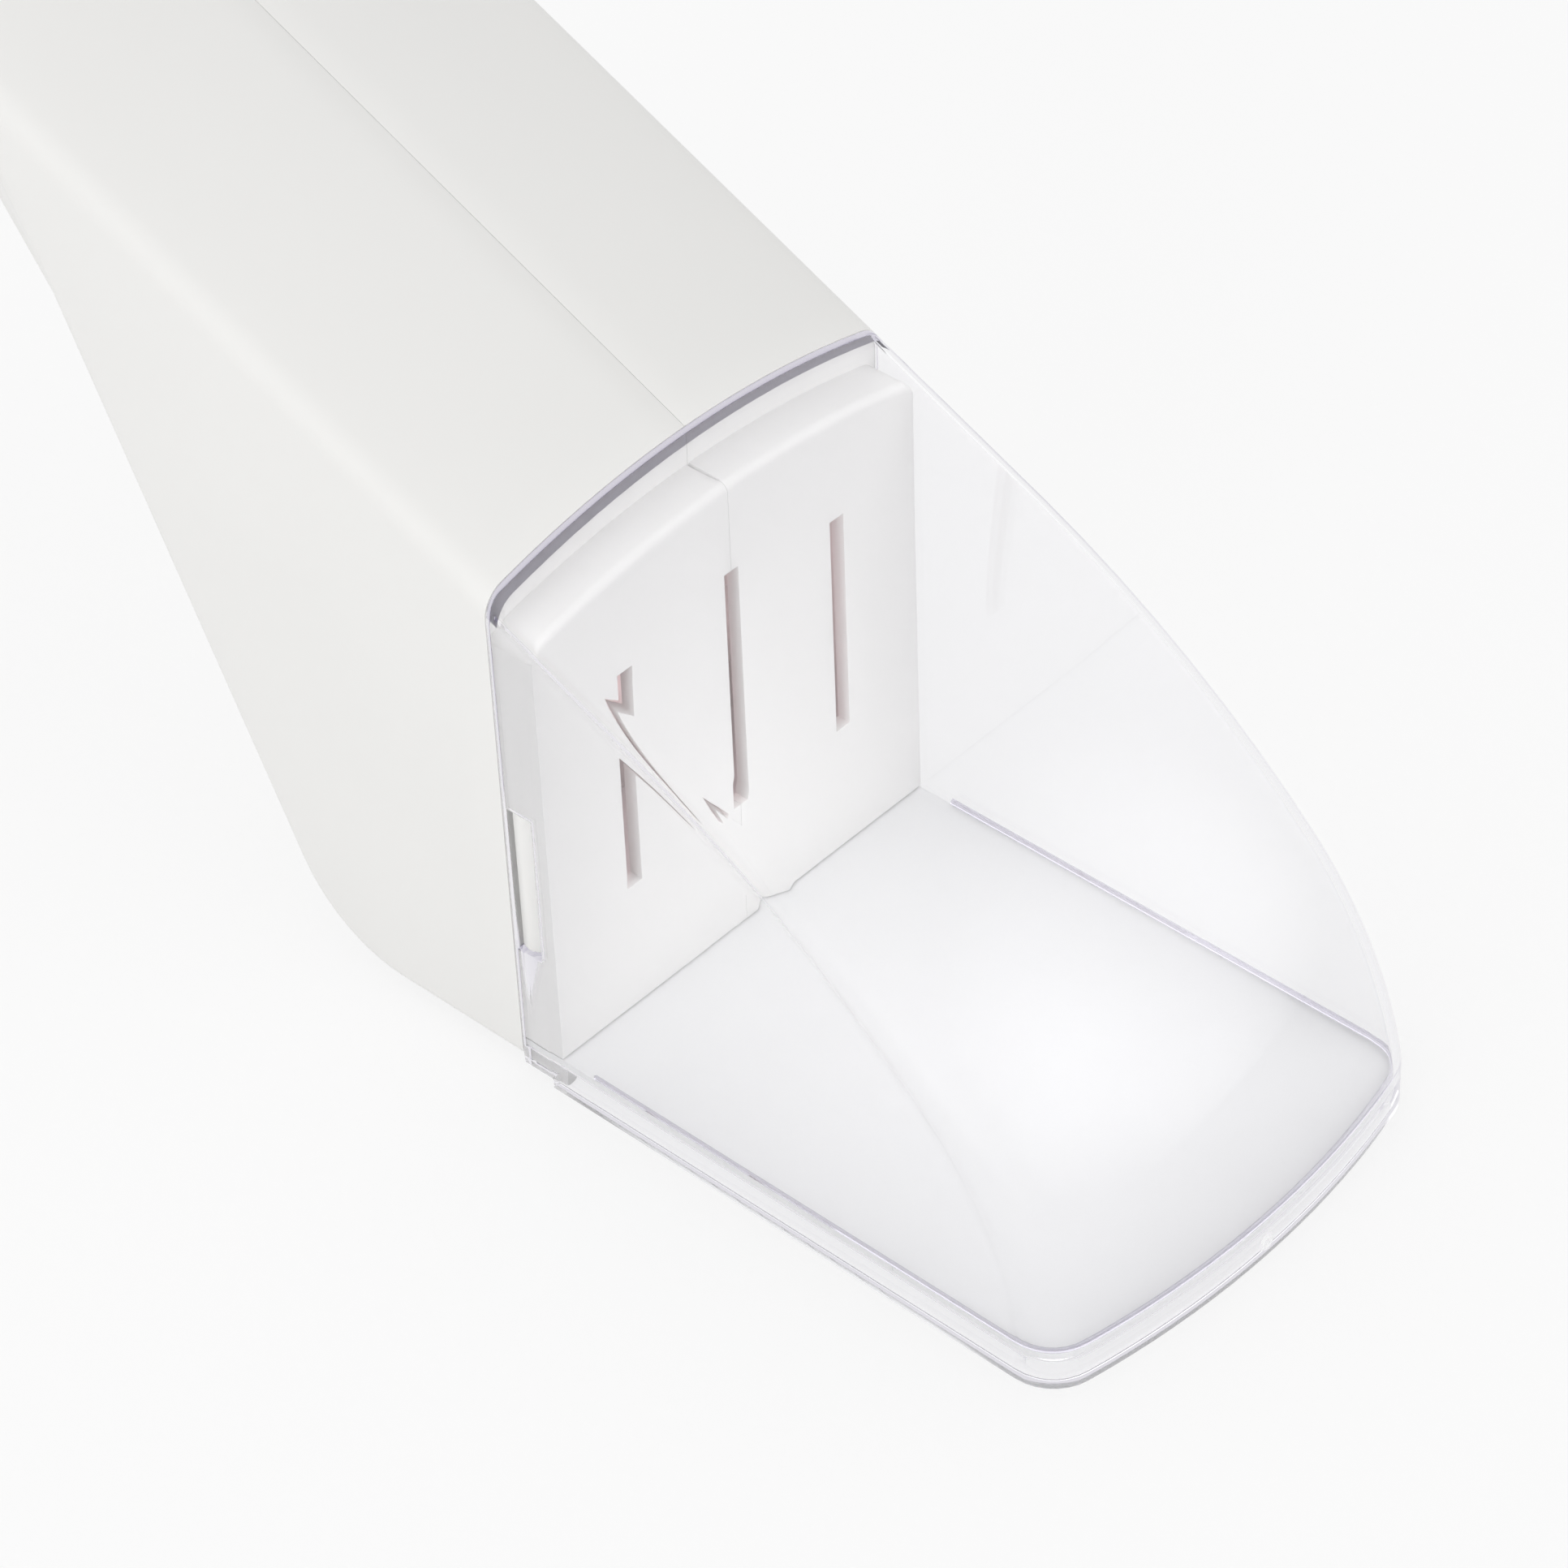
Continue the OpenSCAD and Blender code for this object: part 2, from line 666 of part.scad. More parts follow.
hood();
left_shell();
right_shell();
door_leaf();
door_web();
door_tail();
thumb_button();
slide_carriage();
tail_clamp();
clamp_screws();
case_screws();
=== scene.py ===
# %% [markdown]
# # A hand-held bug catcher
# The object is a clear plastic hood on a white two-part body with a slanted handle. A white
# trap door closes the hood's open mouth, and a thumb slide on the handle draws it back.
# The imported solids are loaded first, because every piece below is placed around them.

# %% Load the frame
import math

import bmesh
import bpy
from mathutils import Matrix, Vector


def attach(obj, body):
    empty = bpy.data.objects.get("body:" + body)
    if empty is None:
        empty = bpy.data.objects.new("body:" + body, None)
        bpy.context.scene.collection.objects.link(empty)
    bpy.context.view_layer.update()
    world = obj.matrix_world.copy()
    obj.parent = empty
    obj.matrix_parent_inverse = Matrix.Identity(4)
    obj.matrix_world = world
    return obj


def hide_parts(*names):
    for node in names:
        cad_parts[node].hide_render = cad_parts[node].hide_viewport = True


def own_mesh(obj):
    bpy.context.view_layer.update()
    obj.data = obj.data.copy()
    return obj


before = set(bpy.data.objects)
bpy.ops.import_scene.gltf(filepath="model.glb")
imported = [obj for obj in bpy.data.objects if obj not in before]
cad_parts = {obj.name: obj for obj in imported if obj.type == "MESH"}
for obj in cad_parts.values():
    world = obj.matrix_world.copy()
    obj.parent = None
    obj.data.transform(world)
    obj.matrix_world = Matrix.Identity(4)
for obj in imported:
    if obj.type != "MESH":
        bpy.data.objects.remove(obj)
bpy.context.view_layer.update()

# %% [markdown]
# ## Sizes
# The drawing is in millimetres, and Blender works in metres, so one factor turns one into the
# other. The sizes are the same as in the solid model, so that each piece lies where its solid
# lies. The side view uses points (x, z), and slopes in degrees that count downwards.

# %% Sizes of the hood and the body
MM = 0.001
HALF_W, HOOD_H, HOOD_L = 35.0, 77.0, 87.0
CROWN, EDGE_R, WALL = 4.5, 4.0, 1.4
LIP_EDGE_R, INNER_EDGE_R, RIM_BAND = 7.0, 3.2, 1.9
ROOF, ROOF_STRAIGHT, ROOF_MID, ROOF_END, NOSE_R = 24.0, 28.0, 45.0, 75.0, 15.0
LEDGE_W, STEP_L, STEP_H = 1.8, 5.0, 1.5
CATCH_X, CATCH_W, CATCH_Z, CATCH_H = 0.8, 4.0, 21.5, 23.0
DOOR_Z, DOOR_T, SLIDE_GAP = 4.2, 1.0, 0.25
GUIDE_LOW, GUIDE_TOP = DOOR_Z - SLIDE_GAP, DOOR_Z + DOOR_T + SLIDE_GAP
TONGUE = WALL + 0.15
WALL_X, WALL_T, TONGUE_R, TONGUE_DROP = 6.5, 2.0, 1.3, 4.2
VENT_W, VENT_PITCH, VENT_Z, VENT_H, VENT_RISE = 2.5, 19.0, 25.0, 34.0, 3.5
BELLY_L, BELLY_R, BELLY_EDGE, BELLY_SLOPE = 34.5, 20.0, 2.6, 64.5
HANDLE_L, GRIP_H, GRIP_HALF, GRIP_R, TAPER_S = 222.0, 22.0, 21.0, 7.0, 128.0
SLIDE_S, TRAVEL, STEM_L, SLOT_W = 108.0, 84.0, 12.0, 9.0
SLOT_S0, SLOT_S1 = SLIDE_S - STEM_L / 2 - 0.6, SLIDE_S + TRAVEL + STEM_L / 2 + 0.6
SHELL_T, SHELL_SHARP, SEAM = 1.4, 36, 0.025
CROWN_R = (HALF_W ** 2 + CROWN ** 2) / (2 * CROWN)
CROWN_V = CROWN - CROWN_R
print("crown radius", round(CROWN_R, 1), "mm")


# %% [markdown]
# ## Lines and sections
# Every large surface here is a section carried along a line. A direction in the side view is
# a heading, and the direction that points out of the object is its outward normal. Points are
# kept as small vectors, and are only scaled to metres when a mesh is made.

# %% Headings and sections
def heading(slope):
    """The direction in the side view of a line that falls by slope degrees."""
    return Vector((math.cos(math.radians(slope)), -math.sin(math.radians(slope))))


def outward(slope):
    """The normal of such a line."""
    return Vector((math.sin(math.radians(slope)), math.cos(math.radians(slope))))


def turn(u, v):
    """How far v is turned from u, as their cross product."""
    return u.x * v.y - u.y * v.x


def meet(p, a, q, b):
    """Where the line through p with slope a meets the line through q with slope b."""
    return p + heading(a) * (turn(q - p, heading(b)) / turn(heading(a), heading(b)))


def top_corner(half, radius):
    """Height of the centre of a top corner's arc over the corner line."""
    return CROWN_V + math.sqrt((CROWN_R - radius) ** 2 - (half - radius) ** 2)


def top_section(half, radius, inset, crown_ys, corner_steps):
    """(y, v) from the middle of the crown out to where the corner's arc meets the side."""
    top_v = top_corner(half, radius)
    side_angle = math.atan2(top_v - CROWN_V, half - radius)
    r = CROWN_R - inset
    points = [(y, CROWN_V + math.sqrt(r * r - y * y)) for y in crown_ys(r * math.cos(side_angle))]
    for i in range(1, corner_steps + 1):
        a = side_angle * (1 - i / corner_steps)
        points.append((half - radius + (radius - inset) * math.cos(a),
                       top_v + (radius - inset) * math.sin(a)))
    return points


LIP_H = GUIDE_TOP
ROOF_P0 = Vector((0, HOOD_H))
ROOF_P1 = ROOF_P0 + heading(ROOF) * (ROOF_STRAIGHT / math.cos(math.radians(ROOF)))
nose_start = Vector((HOOD_L, LIP_H)) + NOSE_R * (outward(ROOF_END) - outward(90))
curve_a = outward(ROOF_MID) - outward(ROOF)
curve_b = outward(ROOF_END) - outward(ROOF_MID)
roof_run = nose_start - ROOF_P1
GENTLE_R = turn(roof_run, curve_b) / turn(curve_a, curve_b)
TIGHT_R = turn(curve_a, roof_run) / turn(curve_a, curve_b)
GENTLE_C = ROOF_P1 - GENTLE_R * outward(ROOF)
TIGHT_C = GENTLE_C + (GENTLE_R - TIGHT_R) * outward(ROOF_MID)
NOSE_C = TIGHT_C + (TIGHT_R - NOSE_R) * outward(ROOF_END)
print("roof radii", round(GENTLE_R, 1), round(TIGHT_R, 1), "mm")


# %% [markdown]
# ## From points to meshes
# A mesh here is a list of faces whose corners are given as points. Points that fall together
# are merged afterwards, which saves all the counting of indices. Edges that turn by more than
# a set angle stay sharp, and a small bevel gives moulded edges the thin highlight that real
# ones have.

# %% Mesh helpers
def mesh_object(name, faces):
    """An object from faces that are given by the points of their corners."""
    bm = bmesh.new()
    for corners in faces:
        bm.faces.new([bm.verts.new(Vector(c) * MM) for c in corners])
    bmesh.ops.remove_doubles(bm, verts=bm.verts, dist=0.002 * MM)
    bmesh.ops.dissolve_degenerate(bm, dist=0.001 * MM, edges=bm.edges)
    bmesh.ops.recalc_face_normals(bm, faces=bm.faces)
    mesh = bpy.data.meshes.new(name)
    bm.to_mesh(mesh)
    bm.free()
    made = bpy.data.objects.new(name, mesh)
    bpy.context.scene.collection.objects.link(made)
    return made


def settle(piece, sharp):
    """Applies the modifiers, then keeps the strongly turned edges sharp."""
    graph = bpy.context.evaluated_depsgraph_get()
    bpy.context.view_layer.update()
    done = bpy.data.meshes.new_from_object(piece.evaluated_get(graph))
    piece.modifiers.clear()
    piece.data = done
    bm = bmesh.new()
    bm.from_mesh(done)
    for face in bm.faces:
        face.smooth = True
    for edge in bm.edges:
        edge.smooth = len(edge.link_faces) == 2 and edge.calc_face_angle(0) < math.radians(sharp)
    bm.to_mesh(done)
    bm.free()


def make_piece(name, faces, body, material, bevel=0.0, sharp=32.0, replaces=()):
    """A finished piece: its mesh, its edges, the body that it rides and what it stands for."""
    piece = mesh_object(name, faces)
    piece.data.materials.append(material)
    if bevel:
        mod = piece.modifiers.new("edge", "BEVEL")
        mod.width, mod.segments, mod.limit_method = bevel * MM, 2, "ANGLE"
        mod.angle_limit = math.radians(sharp)
        mod.use_clamp_overlap = True
    settle(piece, sharp)
    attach(piece, body)
    if replaces:
        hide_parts(*replaces)
    print(name, len(piece.data.polygons), "faces")
    return piece


def grid_faces(rows):
    """Faces between neighbouring rows of points."""
    return [[p[j], q[j], q[j + 1], p[j + 1]] for p, q in zip(rows, rows[1:])
            for j in range(len(p) - 1)]


def walled(outer, inner, left_out=lambda i, j: False, joined=()):
    """Two skins of the same layout and the edges between them, except at joined borders."""
    height, width = len(outer) - 1, len(outer[0]) - 1
    kept = {(i, j) for i in range(height) for j in range(width) if not left_out(i, j)}
    faces = []
    for i, j in sorted(kept):
        ring = [(i, j), (i + 1, j), (i + 1, j + 1), (i, j + 1)]
        faces.append([outer[a][b] for a, b in ring])
        faces.append([inner[a][b] for a, b in ring])
        nexts = [(i, j - 1), (i + 1, j), (i, j + 1), (i - 1, j)]
        borders = [j == 0 and "first", i == height - 1 and "end", j == width - 1 and "last",
                   i == 0 and "start"]
        for k in range(4):
            if nexts[k] in kept or borders[k] in joined:
                continue
            (a, b), (c, d) = ring[k], ring[(k + 1) % 4]
            faces.append([outer[a][b], outer[c][d], inner[c][d], inner[a][b]])
    return faces


def mirrored(faces):
    """The same faces on the other side of the seam."""
    return [[(x, -y, z) for x, y, z in reversed(face)] for face in faces]


def box_faces(low, high):
    """A block between two opposite corners."""
    corners = [(x, y, z) for x in (low[0], high[0]) for y in (low[1], high[1])
               for z in (low[2], high[2])]
    return [[corners[i] for i in side] for side in
            ((0, 1, 3, 2), (4, 6, 7, 5), (0, 4, 5, 1), (2, 3, 7, 6), (0, 2, 6, 4), (1, 5, 7, 3))]


# %% [markdown]
# ## Camera
# The camera stands where the photograph's perspective puts it: lines that are parallel on the
# object fix its direction, and known proportions fix its distance and its angle of view.

# %% Camera
FRAME_PX, FOCAL_PX = 1932, 6977.79
CAMERA_PLACE = Vector((382.54, -381.55, 498.15)) * MM
camera_data = bpy.data.cameras.new("camera")
camera = bpy.data.objects.new("camera", camera_data)
bpy.context.scene.collection.objects.link(camera)
camera_data.sensor_width = 36
camera_data.lens = FOCAL_PX / FRAME_PX * camera_data.sensor_width
camera_data.clip_start, camera_data.clip_end = 0.05, 20
right = Vector((0.73928, 0.67253, -0.03412)).normalized()
forward = Vector((-0.52216, 0.54051, -0.6597)).normalized()
upward = right.cross(forward).normalized()
turned = Matrix((right, upward, -forward)).transposed().to_4x4()
camera.matrix_world = Matrix.Translation(CAMERA_PLACE) @ turned
bpy.context.scene.camera = camera
print("lens", round(camera_data.lens, 1), "mm")


# %% [markdown]
# ## Materials
# A material is a small network of nodes. Three steps come back in several of them, so each is
# written once. The last one tells rays that look at something, which come from the camera, off
# a gloss or through clear plastic, from rays that only gather light. Floor and world use it.

# %% Node helpers
def math_node(tree, operation, a, b):
    """A Math node over two sockets or numbers."""
    node = tree.nodes.new("ShaderNodeMath")
    node.operation = operation
    for k, value in enumerate((a, b)):
        if isinstance(value, (int, float)):
            node.inputs[k].default_value = value
        else:
            tree.links.new(value, node.inputs[k])
    return node.outputs["Value"]


def mix_shaders(tree, amount, first, second):
    """A Mix Shader node, from the first shader at 0 to the second one at 1."""
    node = tree.nodes.new("ShaderNodeMixShader")
    for k, socket in enumerate((amount, first, second)):
        tree.links.new(socket, node.inputs[k])
    return node.outputs["Shader"]


def looking_ray(tree):
    """1 for a ray that looks at something, and 0 for one that only gathers light."""
    path = tree.nodes.new("ShaderNodeLightPath").outputs
    return math_node(tree, "MAXIMUM", path["Is Camera Ray"],
                     math_node(tree, "MAXIMUM", path["Is Transmission Ray"],
                               path["Is Glossy Ray"]))


print("node helpers ready")


# %% [markdown]
# Moulded plastic is never one flat colour: the surface has a very fine grain, slow changes of
# gloss and slight unevenness in its tint. Noise in object space drives these, at millimetre
# scale. A fixed value is typed on the shader itself.

# %% Plastic and steel
def plastic(name, color, spread, roughness, grain, bump, specular=0.45, coat=0.0):
    """A moulded plastic: slow tint and gloss changes, and a fine grain."""
    material = bpy.data.materials.new(name)
    material.use_nodes = True
    nodes, links = material.node_tree.nodes, material.node_tree.links
    shader = nodes["Principled BSDF"]
    shader.inputs["Specular IOR Level"].default_value = specular
    shader.inputs["Coat Weight"].default_value = coat
    place = nodes.new("ShaderNodeTexCoord")
    slow = nodes.new("ShaderNodeTexNoise")
    slow.inputs["Scale"].default_value = 35
    slow.inputs["Detail"].default_value = 3
    fine = nodes.new("ShaderNodeTexNoise")
    fine.inputs["Scale"].default_value = grain
    fine.inputs["Detail"].default_value = 4
    links.new(place.outputs["Object"], slow.inputs["Vector"])
    links.new(place.outputs["Object"], fine.inputs["Vector"])
    tint = nodes.new("ShaderNodeValToRGB")
    tint.color_ramp.elements[0].position, tint.color_ramp.elements[1].position = 0.3, 0.7
    tint.color_ramp.elements[0].color = (*[c * (1 - spread) for c in color], 1)
    tint.color_ramp.elements[1].color = (*[min(1, c * (1 + spread)) for c in color], 1)
    links.new(slow.outputs["Fac"], tint.inputs["Fac"])
    links.new(tint.outputs["Color"], shader.inputs["Base Color"])
    gloss = nodes.new("ShaderNodeMapRange")
    gloss.inputs["From Min"].default_value, gloss.inputs["From Max"].default_value = 0.3, 0.7
    gloss.inputs["To Min"].default_value = roughness * 0.88
    gloss.inputs["To Max"].default_value = roughness * 1.12
    links.new(fine.outputs["Fac"], gloss.inputs["Value"])
    links.new(gloss.outputs["Result"], shader.inputs["Roughness"])
    relief = nodes.new("ShaderNodeBump")
    relief.inputs["Strength"].default_value = bump
    relief.inputs["Distance"].default_value = 0.00004
    links.new(fine.outputs["Fac"], relief.inputs["Height"])
    links.new(relief.outputs["Normal"], shader.inputs["Normal"])
    return material


white_shell = plastic("white_shell_plastic", (0.8, 0.795, 0.78), 0.006, 0.42, 1400, 0.10)
# painted light: the wall's white is a lighter copy of the shell's, to make up for light lost
# inside the hood
lifted_wall_white = plastic("white_wall_plastic_painted_light", (0.84, 0.835, 0.825), 0.006, 0.45, 1400, 0.10)
door_white = plastic("door_plastic", (0.85, 0.853, 0.857), 0.006, 0.33, 1600, 0.06)
slide_grey = plastic("slide_plastic", (0.6, 0.61, 0.64), 0.01, 0.5, 1200, 0.15)
screw_steel = plastic("screw_steel", (0.56, 0.56, 0.58), 0.04, 0.3, 2500, 0.2)
screw_steel.node_tree.nodes["Principled BSDF"].inputs["Metallic"].default_value = 1
print("plain materials made")


# %% [markdown]
# ## Clear plastic
# The hood is clear styrene, so it bends light like glass. Its walls hardly show, but in the
# long way through an edge the slight lilac tint of the plastic adds up. Absorption in the
# volume gives just that. Rays that look for lamps pass straight through, because a thin clear
# wall casts almost no shadow. A ray that is mirrored inside a wall again and again would end
# in black. In the real hood it leaves at an edge as pale light, so after a few bounces the
# plastic glows in that pale colour. This is painted light: an emission that stands in for the
# light that leaves at the edges. A second clear plastic has a darker tint, which paints the
# grey shade seen at the rims, where light is caught inside the plastic.

# %% Clear plastic
# after this many bounces the painted glow takes over
GLOW_AFTER_BOUNCES = 2.5  # bounces on the inside of a wall


def clear_plastic(name, color, tint, density):
    """A clear plastic whose trapped rays end in a painted pale glow, in place of the light that
    leaves at its edges.
    """
    material = bpy.data.materials.new(name)
    material.use_nodes = True
    nodes, links = material.node_tree.nodes, material.node_tree.links
    shader = nodes["Principled BSDF"]
    shader.inputs["Base Color"].default_value = (*color, 1)
    shader.inputs["Transmission Weight"].default_value = 1
    shader.inputs["IOR"].default_value = 1.49
    place = nodes.new("ShaderNodeTexCoord")
    waves = nodes.new("ShaderNodeTexNoise")
    waves.inputs["Scale"].default_value = 28
    waves.inputs["Detail"].default_value = 2
    links.new(place.outputs["Object"], waves.inputs["Vector"])
    relief = nodes.new("ShaderNodeBump")
    relief.inputs["Strength"].default_value = 0.08
    relief.inputs["Distance"].default_value = 0.0003
    links.new(waves.outputs["Fac"], relief.inputs["Height"])
    links.new(relief.outputs["Normal"], shader.inputs["Normal"])
    shader.inputs["Roughness"].default_value = 0.012
    path = nodes.new("ShaderNodeLightPath").outputs
    # painted light: a pale emission that stands in for the light leaving at the edges
    painted_glow = nodes.new("ShaderNodeEmission")
    painted_glow.inputs["Color"].default_value = (0.90, 0.89, 0.91, 1)
    through = nodes.new("ShaderNodeBsdfTransparent")
    through.inputs["Color"].default_value = (0.98, 0.98, 0.98, 1)
    trapped = math_node(material.node_tree, "GREATER_THAN", path["Glossy Depth"], GLOW_AFTER_BOUNCES)
    wall_look = mix_shaders(material.node_tree, trapped, shader.outputs["BSDF"],
                            painted_glow.outputs["Emission"])
    look = mix_shaders(material.node_tree, path["Is Shadow Ray"], wall_look,
                       through.outputs["BSDF"])
    depth = nodes.new("ShaderNodeVolumeAbsorption")
    depth.inputs["Color"].default_value = (*tint, 1)
    depth.inputs["Density"].default_value = density
    links.new(look, nodes["Material Output"].inputs["Surface"])
    links.new(depth.outputs["Volume"], nodes["Material Output"].inputs["Volume"])
    return material


clear = clear_plastic("clear_styrene", (0.99, 0.99, 0.99), (0.52, 0.50, 0.61), 36)
# painted shade: the rims' plastic is tinted darker for the grey shade that light caught in them
# shows
painted_shade_clear = clear_plastic("clear_styrene_rim_painted_shade", (0.68, 0.66, 0.74), (0.52, 0.50, 0.61), 36)
print("clear plastic made")


# %% [markdown]
# ## The clear hood
# The hood is one moulding of even wall: flat sides, a crowned roof that bends down in three
# arcs of ever smaller radius, and a thick rim with a ledge for the door. A solid block with
# booleans would leave untidy faces, so its skins are drawn as grids: rows go along the roof,
# and each row runs from the crown over the corner and down the side. The inner skin is the
# same grid, sunk in by the wall. The top corner is tight at the rear, where it lines up with the
# body, and softer at the lip, so its radius grows along the roof.

# %% Hood stations
CROWN_STEPS, CORNER_STEPS = 9, 7
REAR_XS = (0.06, CATCH_X, RIM_BAND, CATCH_X + CATCH_W, STEP_L, 8, 12, 17, 22)
GENTLE_ROWS, TIGHT_ROWS, NOSE_ROWS = 8, 12, 5


def even_crown(last_y):
    """Places across half of a crown, evenly spaced."""
    return [last_y * i / CROWN_STEPS for i in range(CROWN_STEPS + 1)]


def hood_rows(inset, floor_z, rear_r):
    """Half of the hood's skin: rows of points from the crown to the foot of the side."""
    stations = [("x", x) for x in REAR_XS]
    stations += [("gentle", ROOF + (ROOF_MID - ROOF) * i / GENTLE_ROWS)
                 for i in range(GENTLE_ROWS + 1)]
    stations += [("tight", ROOF_MID + (ROOF_END - ROOF_MID) * i / TIGHT_ROWS)
                 for i in range(1, TIGHT_ROWS + 1)]
    stations += [("nose", ROOF_END + (90 - ROOF_END) * i / NOSE_ROWS)
                 for i in range(1, NOSE_ROWS + 1)]
    rows = []
    for k, (kind, value) in enumerate(stations):
        row = []
        # the top corner's radius grows over the gentle and the tight arc
        grown = min(max(0, (k - len(REAR_XS)) / (GENTLE_ROWS + TIGHT_ROWS)), 1)
        section = top_section(HALF_W, rear_r + (LIP_EDGE_R - rear_r) * grown, inset,
                              even_crown, CORNER_STEPS)
        for y, v in section:
            if kind == "x":
                row.append((value, y, HOOD_H - value * math.tan(math.radians(ROOF))
                            + v / math.cos(math.radians(ROOF))))
            else:
                centre, r = {"gentle": (GENTLE_C, GENTLE_R), "tight": (TIGHT_C, TIGHT_R),
                             "nose": (NOSE_C, NOSE_R)}[kind]
                p = centre + (r + v) * outward(value)
                row.append((p.x, y, p.y))
        x, y, top = row[-1]
        low = max(STEP_H, floor_z + 0.5)  # no level lies under the skin's own foot
        for level, share in ((CATCH_Z + CATCH_H, 0.7), (CATCH_Z, 0.4), (low, 0.2)):
            row.append((x, y, min(level, floor_z + share * (top - floor_z))))
        row.append((x, y, floor_z))
        rows.append(row)
    return rows


outer = hood_rows(0, 0, EDGE_R)
inner = hood_rows(WALL, GUIDE_LOW, INNER_EDGE_R)
top_count = CROWN_STEPS + 1 + CORNER_STEPS
print("hood rows", len(outer), "points a row", len(outer[0]))


# %% [markdown]
# The front lip carries the last row straight down to the rim. Its points lie at the heights of
# the side's last column, so that both skins close without gaps. The rim itself is a set of
# rings: outer foot, ledge and inner edge. At the rear the rim is raised by a small step, and
# each side has a window for a snap catch. A narrow band along the roof's rear edge gets the
# rims' darker tint. This is painted shade, for the light that is caught inside the edge there.

# %% Hood lip, rim and windows
def lip_rows(rows):
    """The stretch below the nose, whose heights are those of the side's last column."""
    last = rows[-1]
    heights = [p[2] for p in last[top_count - 1:]]
    return [[(x, y, z) for x, y, _ in last[:top_count]] for z in heights]


def foot_ring(inset, z):
    """One side's foot from the rear to the middle of the front, at a height."""
    rows = hood_rows(inset, 0, INNER_EDGE_R if inset else EDGE_R)
    side = [(row[-1][0], row[-1][1], z) for row in rows]
    front = [(x, y, z) for x, y, _ in reversed(rows[-1][:top_count - 1])]
    return side + front


RAISED_ROWS = 4  # the rim's rear end is raised as far as this row
WINDOW_ROWS = (1, 2)


def hood_faces():
    """Half of the hood: both skins, the lip, the rim's rings and the rear edge."""
    faces = walled(outer, inner, lambda i, j: i in WINDOW_ROWS and j == top_count,
                   joined=("first", "last", "start", "end"))
    raised_cells = [(i, top_count + 2) for i in range(RAISED_ROWS)]
    gone = [[outer[i][j], outer[i + 1][j], outer[i + 1][j + 1], outer[i][j + 1]]
            for i, j in raised_cells]
    faces = [face for face in faces if face not in gone]
    faces += grid_faces(lip_rows(outer)) + grid_faces(lip_rows(inner))
    ledge_outer, ledge_inner = foot_ring(WALL, GUIDE_LOW), foot_ring(WALL + LEDGE_W, GUIDE_LOW)
    raised_outer, raised_inner = foot_ring(0, STEP_H), foot_ring(WALL + LEDGE_W, STEP_H)
    foot_outer, foot_inner = foot_ring(0, 0), foot_ring(WALL + LEDGE_W, 0)
    for i in range(len(foot_outer) - 1):
        raised = i < RAISED_ROWS
        low_o, low_i = (raised_outer, raised_inner) if raised else (foot_outer, foot_inner)
        faces.append([ledge_outer[i], ledge_outer[i + 1], ledge_inner[i + 1], ledge_inner[i]])
        faces.append([low_o[i], low_i[i], low_i[i + 1], low_o[i + 1]])
        faces.append([ledge_inner[i], ledge_inner[i + 1], low_i[i + 1], low_i[i]])
    end = RAISED_ROWS
    faces.append([raised_outer[end], raised_inner[end], foot_inner[end], foot_outer[end]])
    # the rear edge, between the two skins
    for j in range(top_count + 1):
        faces.append([outer[0][j], inner[0][j], inner[0][j + 1], outer[0][j + 1]])
    j = top_count + 1
    faces.append([outer[0][j], inner[0][j], inner[0][j + 1], inner[0][j + 2], ledge_inner[0],
                  raised_inner[0], outer[0][j + 1]])
    return faces


half_hood = hood_faces()
hood = make_piece("clear_hood", half_hood + mirrored(half_hood), "case", clear, bevel=0.22,
                  sharp=40, replaces=["hood"])
hood.data.materials.append(painted_shade_clear)
# the faces of the roof's rear band get the painted shade of the rims
for face in hood.data.polygons:
    face.material_index = int(face.center.x < RIM_BAND * MM and face.normal.z > 0.25)


# %% [markdown]
# The door slides between the ledge of the rim and a fine bead on the inside of the wall, which
# starts in front of the body. In the middle of the lip is a small round mark where the plastic
# was let into the mould.

# %% Guide bead and gate mark
BEAD_START = 6
BEAD_SECTION = ((0.01, 0.05), (0.5, 0.05), (0.5, 0.4), (0.01, 0.7))  # depth and height
GATE_R, GATE_Z = 1.3, 2.7
GATE_PROFILE = ((0.01, 0), (0.01, 1), (0.2, 0.9), (0.3, 0.55), (0.12, 0.35), (0.1, 0))


def guide_bead():
    """Half of the bead, from the body to the middle of the lip."""
    rings = [foot_ring(WALL + depth, GUIDE_TOP + height)[BEAD_START:]
             for depth, height in BEAD_SECTION]
    return grid_faces(rings + rings[:1]) + [[ring[0] for ring in rings]]


half_bead = guide_bead()
# the bead's darker tint paints the shadow line along the door's edge
make_piece("door_guide_bead", half_bead + mirrored(half_bead), "case", painted_shade_clear, sharp=40)
gate = [[(HOOD_L + CROWN + x, GATE_R * share * math.cos(math.radians(20 * i)),
          GATE_Z + GATE_R * share * math.sin(math.radians(20 * i))) for i in range(19)]
        for x, share in GATE_PROFILE]
make_piece("gate_mark", grid_faces(gate), "case", clear, sharp=30)


# %% [markdown]
# ## The white shells
# The body and the handle are one hollow form, split in the middle into two shells that meet at
# a fine seam. Each shell is one skin: rows run from the seam over the crown and the rounded
# corner, down the flat side, round the lower edge and back to the seam. The rows first follow
# the belly's bend, then narrow to the grip, and turn in a half circle at the handle's end. A
# row has only two points on its flat side. Where the belly meets the handle the rows are nearly
# parallel, and faces between more points would cross there.

